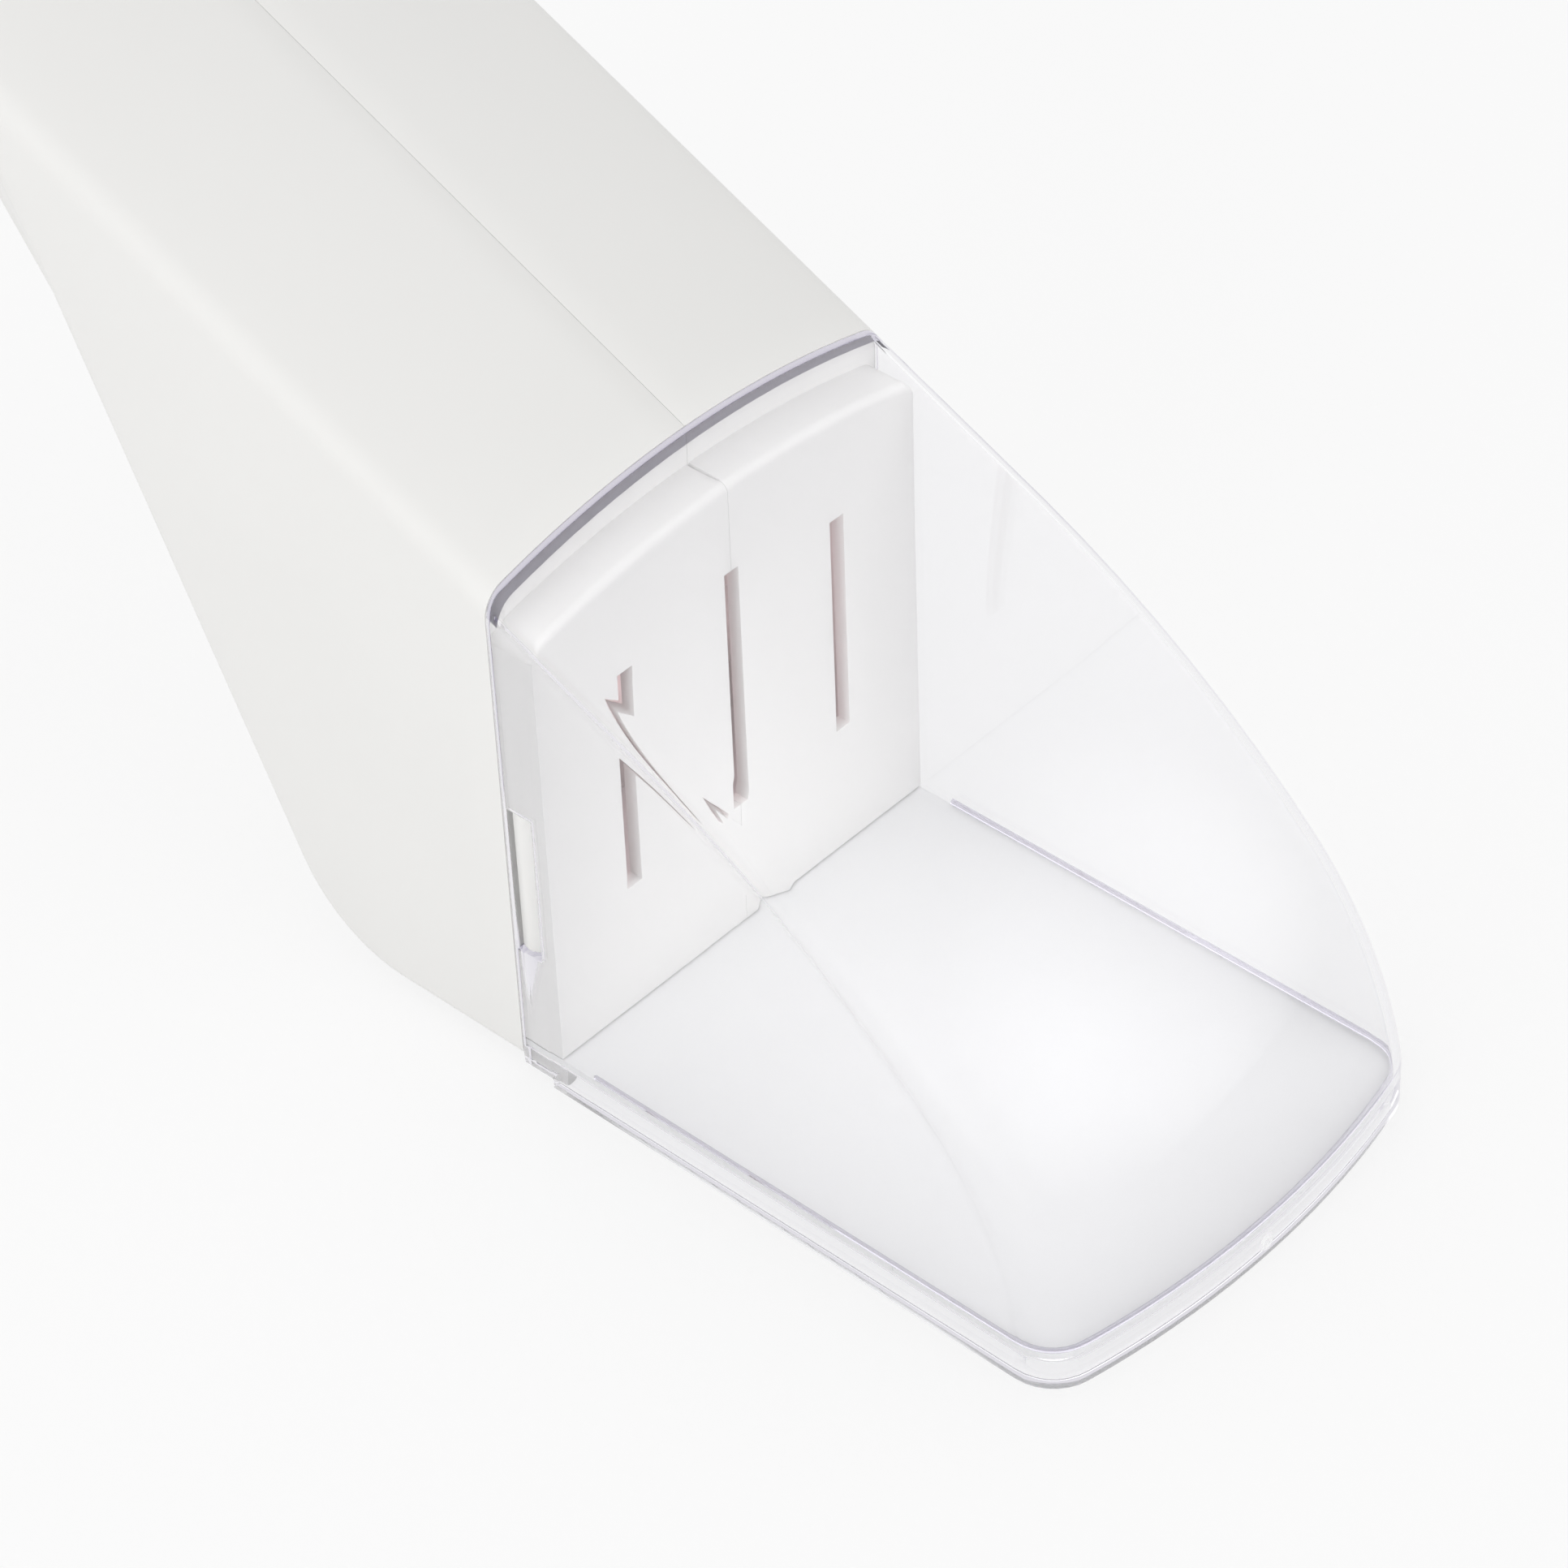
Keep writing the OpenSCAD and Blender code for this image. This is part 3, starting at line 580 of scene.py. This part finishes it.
# %% Shell rows
BACK = 180 + ROOF
INCLINE = 180 + BELLY_SLOPE
BEND_STEPS, INCLINE_STEPS = 10, 7
SIDE_STEPS, LOW_STEPS, UNDER_STEPS = 3, 6, 4
belly_v = Vector((-BELLY_L, STEP_H))
belly_reach = BELLY_R * math.tan(math.radians(BELLY_SLOPE / 2))
bend_p = belly_v + Vector((belly_reach, 0))
bend_c = bend_p + Vector((0, BELLY_R))
incline_p = belly_v + belly_reach * heading(INCLINE)


def on_handle(s, v=0.0):
    """The point s along the handle and v over its top line."""
    return ROOF_P0 + s * heading(BACK) + v * outward(ROOF)


def shell_crown(last_y, steps=6):
    """Places across half of a shell's crown, one of them at the edge of the slide's slot."""
    half_slot = SLOT_W / 2
    return [SEAM, half_slot] + [half_slot + (last_y - half_slot) * i / steps
                                for i in range(1, steps + 1)]


def shell_row(top_p, top_n, low_p, low_n, half, top_r, low_r, inset):
    """One row of a shell, from the seam on top round to the seam below."""
    row = [(top_p + v * top_n, y) for y, v in top_section(half, top_r, inset, shell_crown, 6)]
    side, foot = row[-1][0], low_p - low_r * low_n
    row += [(side.lerp(foot, i / SIDE_STEPS), half - inset) for i in range(1, SIDE_STEPS)]
    for i in range(LOW_STEPS + 1):
        a = math.radians(90 - 90 * i / LOW_STEPS)
        row.append((low_p - (low_r - (low_r - inset) * math.cos(a)) * low_n,
                    half - low_r + (low_r - inset) * math.sin(a)))
    row += [(low_p - inset * low_n,
             (half - low_r) * (1 - i / UNDER_STEPS) + SEAM * i / UNDER_STEPS)
            for i in range(1, UNDER_STEPS + 1)]
    return [(p.x, y, p.y) for p, y in row]


def belly_stations():
    """Points of the belly from the hood to the handle's underside, with outward normals."""
    found = [(Vector((x, STEP_H)), outward(180)) for x in (0, -4, -9, -15)]
    for i in range(BEND_STEPS + 1):
        slope = 180 + (INCLINE - 180) * i / BEND_STEPS
        found.append((bend_c + BELLY_R * outward(slope), outward(slope)))
    crease = meet(belly_v, INCLINE, on_handle(0, -GRIP_H), BACK)
    for i in range(1, INCLINE_STEPS + 1):
        found.append((incline_p.lerp(crease, i / INCLINE_STEPS), outward(INCLINE)))
    return found


crease_top = meet(belly_v, INCLINE, ROOF_P0, BACK)
crease_s = (crease_top - ROOF_P0).dot(heading(BACK))
lean_front = math.tan(math.radians(ROOF))
up_incline = heading(INCLINE) / heading(INCLINE).dot(outward(ROOF))
lean_crease = (up_incline - outward(ROOF)).dot(heading(BACK))
print("the taper starts", round(crease_s, 1), "mm along the handle")


# %% [markdown]
# The rows of the taper are blended point by point between the first and the last section, as
# the real surface is ruled. One row is put exactly where the slot for the thumb slide begins,
# and the faces inside the slot are left out.

# %% Shell skin
SLOT_SHARE = (SLOT_S0 - crease_s) / (TAPER_S - crease_s)
TAPER_SHARES = (SLOT_SHARE, 0.25, 0.4, 0.55, 0.7, 0.85)
GRIP_STATIONS = (137, 146, 155, 164, 173, 182, 191, SLOT_S1)
END_STEPS = 14


def shell_rows(inset):
    """All rows of one shell, from the hood to the end of the handle."""
    rows = []
    stations = belly_stations()
    for k, (low_p, low_n) in enumerate(stations):
        share = k / (len(stations) - 1)
        lean = lean_front + (lean_crease - lean_front) * share
        top_n = outward(ROOF) + lean * heading(BACK)
        rows.append(shell_row(on_handle(crease_s * share), top_n, low_p, low_n, HALF_W, EDGE_R,
                              BELLY_EDGE, inset))
    start = rows[-1]
    grips = [shell_row(on_handle(s), outward(ROOF), on_handle(s, -GRIP_H), -outward(ROOF),
                       GRIP_HALF, GRIP_R, GRIP_R, inset)
             for s in (TAPER_S, *GRIP_STATIONS)]
    for share in TAPER_SHARES:
        rows.append([tuple(a + (b - a) * share for a, b in zip(p, q))
                     for p, q in zip(start, grips[0])])
    rows += grips
    flat = shell_row(Vector((0, 0)), Vector((0, 1)), Vector((0, -GRIP_H)), Vector((0, -1)),
                     GRIP_HALF, GRIP_R, GRIP_R, inset)
    for i in range(END_STEPS + 1):
        angle = math.radians(90 * i / END_STEPS)
        row = []
        for j, (_, y, v) in enumerate(flat):
            y = 0 if j in (0, len(flat) - 1) else y
            p = on_handle(HANDLE_L - GRIP_HALF + y * math.sin(angle), v)
            row.append((p.x, max(y * math.cos(angle), SEAM), p.y))
        rows.append(row)
    return rows


outer_rows, inner_rows = shell_rows(0), shell_rows(SHELL_T)
slot_start = len(belly_stations())
slot_end = slot_start + len(TAPER_SHARES) + len(GRIP_STATIONS)
skin = walled(outer_rows, inner_rows, lambda i, j: j == 0 and slot_start <= i < slot_end)
print("shell rows", len(outer_rows), "slot from row", slot_start, "to", slot_end)
make_piece("left_case_skin", skin, "case", white_shell, bevel=0.06,
           sharp=SHELL_SHARP, replaces=["left_shell"])
make_piece("right_case_skin", mirrored(skin), "case", white_shell, bevel=0.06,
           sharp=SHELL_SHARP, replaces=["right_shell"])


# %% [markdown]
# ## Screw wells
# Five self-tapping screws close the case from the far side. Each one stands at the bottom of a
# round well that is moulded with the shell, deep enough for the same short screw everywhere. The
# holes are cut through the flank, and a tube goes on from each hole to the screw's head. The
# tube's mouth follows the flank, just under its surface, because the flank isn't level at the
# handle. The five plugs that cut the holes are removed afterwards.

# %% Screw wells
WELL_R, WELL_WALL, WELL_SEAT, WELL_SINK = 2.85, 1.3, 5.0, 0.75
OUTSIDE_Y = HALF_W + 5
WELLS = [Vector((-21.88, 21.5)), Vector((-12.16, 67.88)), on_handle(111.8, -16.2),
         on_handle(158.4, -16.2), on_handle(213, -12.7)]  # two in the belly, three in the grip


def round_row(center, radius, y, count=32):
    """A ring of points round a well's axis."""
    return [(center.x + radius * math.cos(a), y, center.y + radius * math.sin(a))
            for a in (2 * math.pi * i / count for i in range(count + 1))]


def sunk_row(center, radius):
    """A ring that follows the flank, a little below its surface."""
    row = []
    for x, _, z in round_row(center, radius, 0):
        _, spot, *_ = flank.ray_cast(Vector((x, OUTSIDE_Y, z)) * MM, (0, -1, 0))
        row.append((x, spot.y / MM - WELL_SINK, z))
    return row


def well_faces(center):
    """The tube of one well."""
    inner_r, outer_r = WELL_R + 0.02, WELL_R + WELL_WALL
    seat = round_row(center, inner_r, WELL_SEAT)
    return grid_faces([seat, sunk_row(center, inner_r), sunk_row(center, outer_r),
                       round_row(center, outer_r, WELL_SEAT), seat])


def plug_faces(center):
    """The round plug that cuts one well's hole."""
    row_in, row_out = round_row(center, WELL_R, WELL_SEAT), round_row(center, WELL_R, OUTSIDE_Y)
    return grid_faces([row_in, row_out]) + [row_in[:-1], row_out[:-1]]


flank = bpy.data.objects["left_case_skin"]
wells = [face for center in WELLS for face in well_faces(center)]
plugs = mesh_object("well_plugs", [face for center in WELLS for face in plug_faces(center)])
cut = flank.modifiers.new("wells", "BOOLEAN")
cut.operation, cut.solver, cut.object = "DIFFERENCE", "EXACT", plugs
settle(flank, SHELL_SHARP)
bpy.data.objects.remove(plugs)
print("flank with wells", len(flank.data.polygons), "faces")
make_piece("screw_wells", wells, "case", white_shell)


# %% [markdown]
# ## End wall
# Inside the hood each shell ends in half of a level box: a crowned top that lies a little
# below the hood's roof, a small rounding and a wall with air slots. It is a grid whose lines
# pass along the slots, and the cells of the slots are left out. Along the seam the top has a
# fine groove.

# %% End wall
BOX_REAR, SEAM_GROOVE = -0.5, 0.45
BOX_CORNER_STEPS, ROUND_STEPS = 5, 6


def wall_ys(last_y):
    """Places across half of the wall, with lines along both sides of each slot."""
    edge = VENT_PITCH - VENT_W / 2
    return [SEAM, 0.25, VENT_W / 2, 5, 9, 13.5, edge, edge + VENT_W, 24, 28, last_y]


def wall_rows(inset, front):
    """One row for each y: along the top, over the rounding and down to the sill."""
    section = top_section(HALF_W, EDGE_R, inset, wall_ys, BOX_CORNER_STEPS)
    rows = []
    for k, (y, v) in enumerate(section):
        corner = max(0, k - len(section) + BOX_CORNER_STEPS + 1)
        r = TONGUE_R * math.cos(math.radians(90 / BOX_CORNER_STEPS * corner))
        top = HOOD_H - TONGUE_DROP + v
        groove = SEAM_GROOVE if k == 0 else 0
        row = [(x, y, top - groove) for x in (BOX_REAR, front / 2)]
        for i in range(ROUND_STEPS + 1):
            a = math.radians(90 - 90 / ROUND_STEPS * i)
            row.append((front - r + r * math.cos(a), y, top - r + r * math.sin(a)))
        high = VENT_Z + VENT_H
        row += [(front, y, z) for z in (high + VENT_RISE, high, 42, VENT_Z, 14, GUIDE_TOP)]
        rows.append(row)
    return rows


def slot_cells(i, j):
    """The middle slot is in the first two columns, and the outer ones are in the seventh."""
    return (i < 2 and 9 <= j < 12) or (i == 6 and 10 <= j < 12)


wall_front, wall_back = wall_rows(TONGUE, WALL_X), wall_rows(TONGUE + SHELL_T, WALL_X - WALL_T)
print("wall heights", [round(p[2], 1) for p in wall_front[0]])
wall = walled(wall_front, wall_back, slot_cells)
wall_side = walled(*[[[(BOX_REAR, rows[-1][0][1], p[2]), p] for p in rows[-1]]
                     for rows in (wall_front, wall_back)])


# %% [markdown]
# The flat front of the body closes the space between its skin and that box. It shows through
# the hood as a pale band under the rim.

# %% Front plate
def plate_line(inset, level, lean):
    """From the seam over the corner and down the side, in the plane of the hood's rear edge."""
    section = top_section(HALF_W, EDGE_R, inset, wall_ys, BOX_CORNER_STEPS)
    line = [(y, level + v * lean) for y, v in section]
    return line + [(line[-1][0], z) for z in (60, 45, 30, 15, GUIDE_TOP)]


skin_line = plate_line(SHELL_T, HOOD_H, 1 / math.cos(math.radians(ROOF)))
box_line = plate_line(TONGUE + 0.7, HOOD_H - TONGUE_DROP, 1)
plate = walled(*[[[(x, y, z) for y, z in line] for line in (skin_line, box_line)]
                 for x in (0, -SHELL_T)])
foot_plate = box_faces((-SHELL_T, SEAM, STEP_H + 0.7), (0, HALF_W - WALL, GUIDE_LOW))
# the pieces inside the hood take the lighter copy of the white, which is painted light
for side_name, flip in (("left", False), ("right", True)):
    for name, faces, bevel in (("_end_wall", wall, 0.08), ("_box_side", wall_side, 0),
                               ("_front_plate", plate, 0), ("_foot_plate", foot_plate, 0.1)):
        make_piece(side_name + name, mirrored(faces) if flip else faces, "case", lifted_wall_white,
                   bevel=bevel, sharp=50)


# %% [markdown]
# ## Sill and snap catches
# Under the door a sill joins the wall to the rim plane. On each side a raised catch snaps into
# the hood's window. It has a ridge near its rear edge, from which it slopes down to the front,
# so that the hood slides on easily and stays on.

# %% Sill and catches
SILL_PLAY, LUG_PLAY = 0.15, 0.3
sill_half = HALF_W - WALL - LEDGE_W - SILL_PLAY
lug_low, lug_high = CATCH_Z + LUG_PLAY, CATCH_Z + CATCH_H - LUG_PLAY
lug_x0, lug_x1 = CATCH_X + LUG_PLAY, CATCH_X + CATCH_W - LUG_PLAY
lug_line = [(lug_x0, HALF_W - WALL - 1), (lug_x0, HALF_W - 0.6), (lug_x0 + 1.3, HALF_W - 0.3),
            (lug_x1 - 0.7, HALF_W - 0.8), (lug_x1, HALF_W - 1.3), (lug_x1, HALF_W - WALL - 1)]
lug = grid_faces([[(x, y, z) for x, y in lug_line + lug_line[:1]] for z in (lug_low, lug_high)])
lug += [[(x, y, z) for x, y in lug_line] for z in (lug_low, lug_high)]
sill = box_faces((-1.2, SEAM, 0.02), (WALL_X - 0.2, sill_half, GUIDE_LOW))
for side_name, flip in (("left", False), ("right", True)):
    make_piece(side_name + "_snap_catch", mirrored(lug) if flip else lug, "case", white_shell,
               bevel=0.3)
    make_piece(side_name + "_sill", mirrored(sill) if flip else sill, "case", white_shell,
               bevel=0.25)


# %% [markdown]
# ## Trap door
# The door is one white sheet with a smooth top. Its front is stiff and bowed like the hood.
# Behind that it is grooved underneath, so that it bends round the belly when it is drawn back.
# That part can't follow a rigid body, so it is hung on the case.

# %% Trap door
DOOR_PLAY, LEAF_L, WEB_REST = 0.2, 24, 0.8
door_inset = WALL + DOOR_PLAY
LEAF_X = HOOD_L - door_inset - LEAF_L
WEB_X = LEAF_X - TRAVEL - WEB_REST
section = top_section(HALF_W, LIP_EDGE_R, door_inset, even_crown, 6)
bow = [(HOOD_L + v, y) for y, v in section]
outline = bow + [(LEAF_X, HALF_W - door_inset), (LEAF_X, 0)]
z0, z1 = DOOR_Z, DOOR_Z + DOOR_T
leaf = []
for i in range(len(bow)):
    a, b = outline[i], outline[i + 1]
    leaf.append([(a[0], a[1], z0), (a[0], a[1], z1), (b[0], b[1], z1), (b[0], b[1], z0)])
    for z in (z0, z1):
        corners = [(a[0], a[1], z), (b[0], b[1], z), (LEAF_X, b[1], z), (LEAF_X, a[1], z)]
        leaf.append(corners[:3] if i == len(bow) - 1 else corners)
leaf.append([(LEAF_X, 0, z0), (LEAF_X, 0, z1), (LEAF_X, HALF_W - door_inset, z1),
             (LEAF_X, HALF_W - door_inset, z0)])
make_piece("door_front", leaf + mirrored(leaf), "door", door_white, bevel=0.12, sharp=60,
           replaces=["door_leaf"])


# %% [markdown]
# The grooves make the underside of the web a row of slats. The profile below is drawn once
# from the side and carried across the width. The two edges that run in the guides stay plain.

# %% Door web
def web_profile():
    """The web's side view as (x, z), with its grooves underneath."""
    pitch, width, left_t = 4.0, 0.8, 0.45
    points = [(WEB_X, z0)]
    count = int((LEAF_X - WEB_X - pitch) // pitch)
    for i in range(1, count + 1):
        x = WEB_X + i * pitch
        points += [(x, z0), (x, z1 - left_t), (x + width, z1 - left_t), (x + width, z0)]
    return points + [(LEAF_X, z0), (LEAF_X, z1), (WEB_X, z1)]


profile = web_profile()
web_half = HALF_W - door_inset
groove_half = web_half - 1.2
web = []
for i, a in enumerate(profile):
    b = profile[(i + 1) % len(profile)]
    web.append([(a[0], -groove_half, a[1]), (b[0], -groove_half, b[1]),
                (b[0], groove_half, b[1]), (a[0], groove_half, a[1])])
for y_low, y_high in ((-web_half, -groove_half), (groove_half, web_half)):
    web += box_faces((WEB_X, y_low, z0), (LEAF_X, y_high, z1))
web_piece = make_piece("door_web_sheet", web, "case", door_white, sharp=60,
                       replaces=["door_web"])
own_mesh(web_piece)


# %% [markdown]
# ## Thumb button
# The button is a low rounded cap with five cross grooves for grip, on a stem that passes the
# slot. Its top is a height field: a soft-cornered dome, less the grooves.

# %% Thumb button
GROOVES, GROOVE_PITCH, GROOVE_DEPTH = 5, 3.6, 0.8


def button_faces():
    """The cap as a height field with an upright rim and a flat underside."""
    half_x, half_y, height, base = 12.0, 10.0, 4.5, CROWN + 0.3
    nx, ny = 72, 28

    def point(i, j):
        u, w = 2 * i / nx - 1, 2 * j / ny - 1
        u, w = [math.copysign(abs(t) ** 0.8, t) for t in (u, w)]
        dome = ((1 - abs(u) ** 7) * (1 - abs(w) ** 7)) ** 0.35
        groove = 0.0
        for k in range(GROOVES):
            d = abs(u * half_x - (k - GROOVES // 2) * GROOVE_PITCH)
            groove = max(groove, math.cos(min(d, 1) * math.pi / 2) ** 0.6)
        z = height * (0.35 + 0.65 * dome) - GROOVE_DEPTH * groove * dome ** 3
        return (u * half_x, w * half_y, base + z)

    rows = [[point(i, j) for j in range(ny + 1)] for i in range(nx + 1)]
    faces = grid_faces(rows)
    rim = ([rows[i][0] for i in range(nx)] + [rows[nx][j] for j in range(ny)]
           + [rows[i][ny] for i in range(nx, 0, -1)] + [rows[0][j] for j in range(ny, 0, -1)])
    low = [(x, y, base) for x, y, _ in rim]
    for i in range(len(rim)):
        k = (i + 1) % len(rim)
        faces.append([rim[i], low[i], low[k], rim[k]])
    faces.append(low)
    return faces


def on_grip(faces, s):
    """Faces drawn round the button's middle, laid on the handle's slope."""
    moved = []
    for face in faces:
        corners = []
        for x, y, v in face:
            p = on_handle(s - x, v)
            corners.append((p.x, y, p.y))
        moved.append(corners)
    return moved


stem = box_faces((-STEM_L / 2, -SLOT_W / 2 + 0.3, 2.0), (STEM_L / 2, SLOT_W / 2 - 0.3, 5.2))
make_piece("thumb_cap", on_grip(button_faces(), SLIDE_S), "slider", white_shell, sharp=60,
           replaces=["thumb_button"])
make_piece("thumb_stem", on_grip(stem, SLIDE_S), "slider", white_shell, bevel=0.3)


# %% [markdown]
# ## Carried-over solids
# The carriage, the clamp, the tail strip and the screws have the right shape already and lie
# mostly inside, so they only get their finishes.

# %% Finishes of the carried-over solids
for node, material in (("slide_carriage", slide_grey), ("tail_clamp", slide_grey),
                       ("door_tail", door_white), ("clamp_screws", screw_steel),
                       ("case_screws", screw_steel)):
    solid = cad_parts[node]
    solid.data.materials.clear()
    solid.data.materials.append(material)
print("finishes given")


# %% [markdown]
# ## Floor and light
# The photograph is a white packshot: even light from all round and a background that is almost
# white. The floor's own colour stays lit, so that it keeps a soft shadow, and rays from the
# camera and through the clear hood see it lifted towards white.

# %% Floor
LIFT, REACH, FLOOR_DROP = 0.8, 6.0, 0.15


def pale_floor():
    """A pale matt floor, lifted towards white for the rays that look at it."""
    material = bpy.data.materials.new("pale_floor")
    material.use_nodes = True
    nodes, links = material.node_tree.nodes, material.node_tree.links
    shader = nodes["Principled BSDF"]
    shader.inputs["Base Color"].default_value = (0.86, 0.86, 0.86, 1)
    shader.inputs["Roughness"].default_value = 0.9
    shader.inputs["Specular IOR Level"].default_value = 0.1
    glow = nodes.new("ShaderNodeEmission")
    glow.inputs["Color"].default_value = (1, 1, 1, 1)
    amount = math_node(material.node_tree, "MULTIPLY", looking_ray(material.node_tree), LIFT)
    look = mix_shaders(material.node_tree, amount, shader.outputs["BSDF"],
                       glow.outputs["Emission"])
    links.new(look, nodes["Material Output"].inputs["Surface"])
    return material


floor_mesh = bpy.data.meshes.new("floor")
floor_mesh.from_pydata([(-REACH, -REACH, 0), (REACH, -REACH, 0), (REACH, REACH, 0),
                        (-REACH, REACH, 0)], [], [(0, 1, 2, 3)])
floor = bpy.data.objects.new("floor", floor_mesh)
floor.location.z = -FLOOR_DROP * MM
floor_mesh.materials.append(pale_floor())
bpy.context.scene.collection.objects.link(floor)
print("floor laid")


# %% [markdown]
# The world gives the even light, at one plain level. Rays that look at it see it nearly white,
# with two additions: a bright softbox on one side, which gives the clear hood its highlights,
# and a brighter zone overhead for rays that come through the clear plastic, because the inside
# of the hood is lit through its walls.

# %% World
def world_ramp(value, start, end, amount):
    """Rises softly from 0 at start to amount at end."""
    node = world_nodes.new("ShaderNodeMapRange")
    node.interpolation_type = "SMOOTHSTEP"
    node.inputs["From Min"].default_value, node.inputs["From Max"].default_value = start, end
    node.inputs["To Max"].default_value = amount
    world_links.new(value, node.inputs["Value"])
    return node.outputs["Result"]


world = bpy.data.worlds.new("studio")
bpy.context.scene.world = world
world.use_nodes = True
studio = world.node_tree
world_nodes, world_links = studio.nodes, studio.links
toward = world_nodes.new("ShaderNodeTexCoord").outputs["Generated"]
upwards = world_nodes.new("ShaderNodeSeparateXYZ")
world_links.new(toward, upwards.inputs["Vector"])
sideways = world_nodes.new("ShaderNodeVectorMath")
sideways.operation = "DOT_PRODUCT"
sideways.inputs[1].default_value = Vector((0.75, 0.54, 0.4)).normalized()
world_links.new(toward, sideways.inputs[0])
through_hood = world_nodes.new("ShaderNodeLightPath").outputs["Is Transmission Ray"]
softbox = world_ramp(sideways.outputs["Value"], 0.87, 0.99, 0.8)
overhead = math_node(studio, "MULTIPLY", world_ramp(upwards.outputs["Z"], 0.1, 0.5, 0.62),
                     through_hood)
plain = world_nodes["Background"]
plain.inputs["Color"].default_value = (1, 1, 1, 1)
plain.inputs["Strength"].default_value = 0.8
seen_back = world_nodes.new("ShaderNodeBackground")
seen_back.inputs["Color"].default_value = (0.98, 0.98, 0.98, 1)
world_links.new(math_node(studio, "ADD", math_node(studio, "ADD", softbox, overhead), 1.0),
                seen_back.inputs["Strength"])
sky = mix_shaders(studio, looking_ray(studio), plain.outputs["Background"],
                  seen_back.outputs["Background"])
world_links.new(sky, world_nodes["World Output"].inputs["Surface"])
print("world made")


# %% [markdown]
# A large soft lamp on the camera's left lifts the near side, and a second one stands in front
# of the hood. Neither shows in the clear plastic, where its outline would look like a window.
# Inside the body a small warm lamp tints what is seen through the slots, as light that has
# passed the white walls does. A last one lies under the door and lights it from below.

# %% Lamps
def soft_lamp(name, place, aim, width, height, watts):
    """A rectangular lamp that faces its aim and shows in no reflection."""
    data = bpy.data.lights.new(name, "AREA")
    data.shape, data.size, data.size_y, data.energy = "RECTANGLE", width, height, watts
    lamp = bpy.data.objects.new(name, data)
    lamp.location = Vector(place)
    lamp.rotation_euler = (Vector(aim) - Vector(place)).to_track_quat("-Z", "Y").to_euler()
    lamp.visible_glossy = lamp.visible_transmission = False
    bpy.context.scene.collection.objects.link(lamp)
    return lamp


soft_lamp("near_lamp", (0.15, -1.2, 0.5), (0, 0, 0.05), 0.9, 0.7, 4.6)
soft_lamp("front_lamp", (1.3, 0.15, 0.25), (0.02, 0, 0.04), 0.7, 0.4, 3.6)
warm = bpy.data.lights.new("inside_light", "POINT")
warm.energy, warm.color, warm.shadow_soft_size = 0.012, (1, 0.74, 0.77), 0.01
inside_lamp = bpy.data.objects.new("inside_light", warm)
inside_lamp.location = (-0.022, 0, 0.045)
bpy.context.scene.collection.objects.link(inside_lamp)
under_door = soft_lamp("under_door_light", (0.04, 0, 0.0005), (0.04, 0, 1), 0.06, 0.055, 0.006)
under_door.visible_camera = False
bpy.context.scene.view_settings.view_transform = "Standard"
print("lamps set")
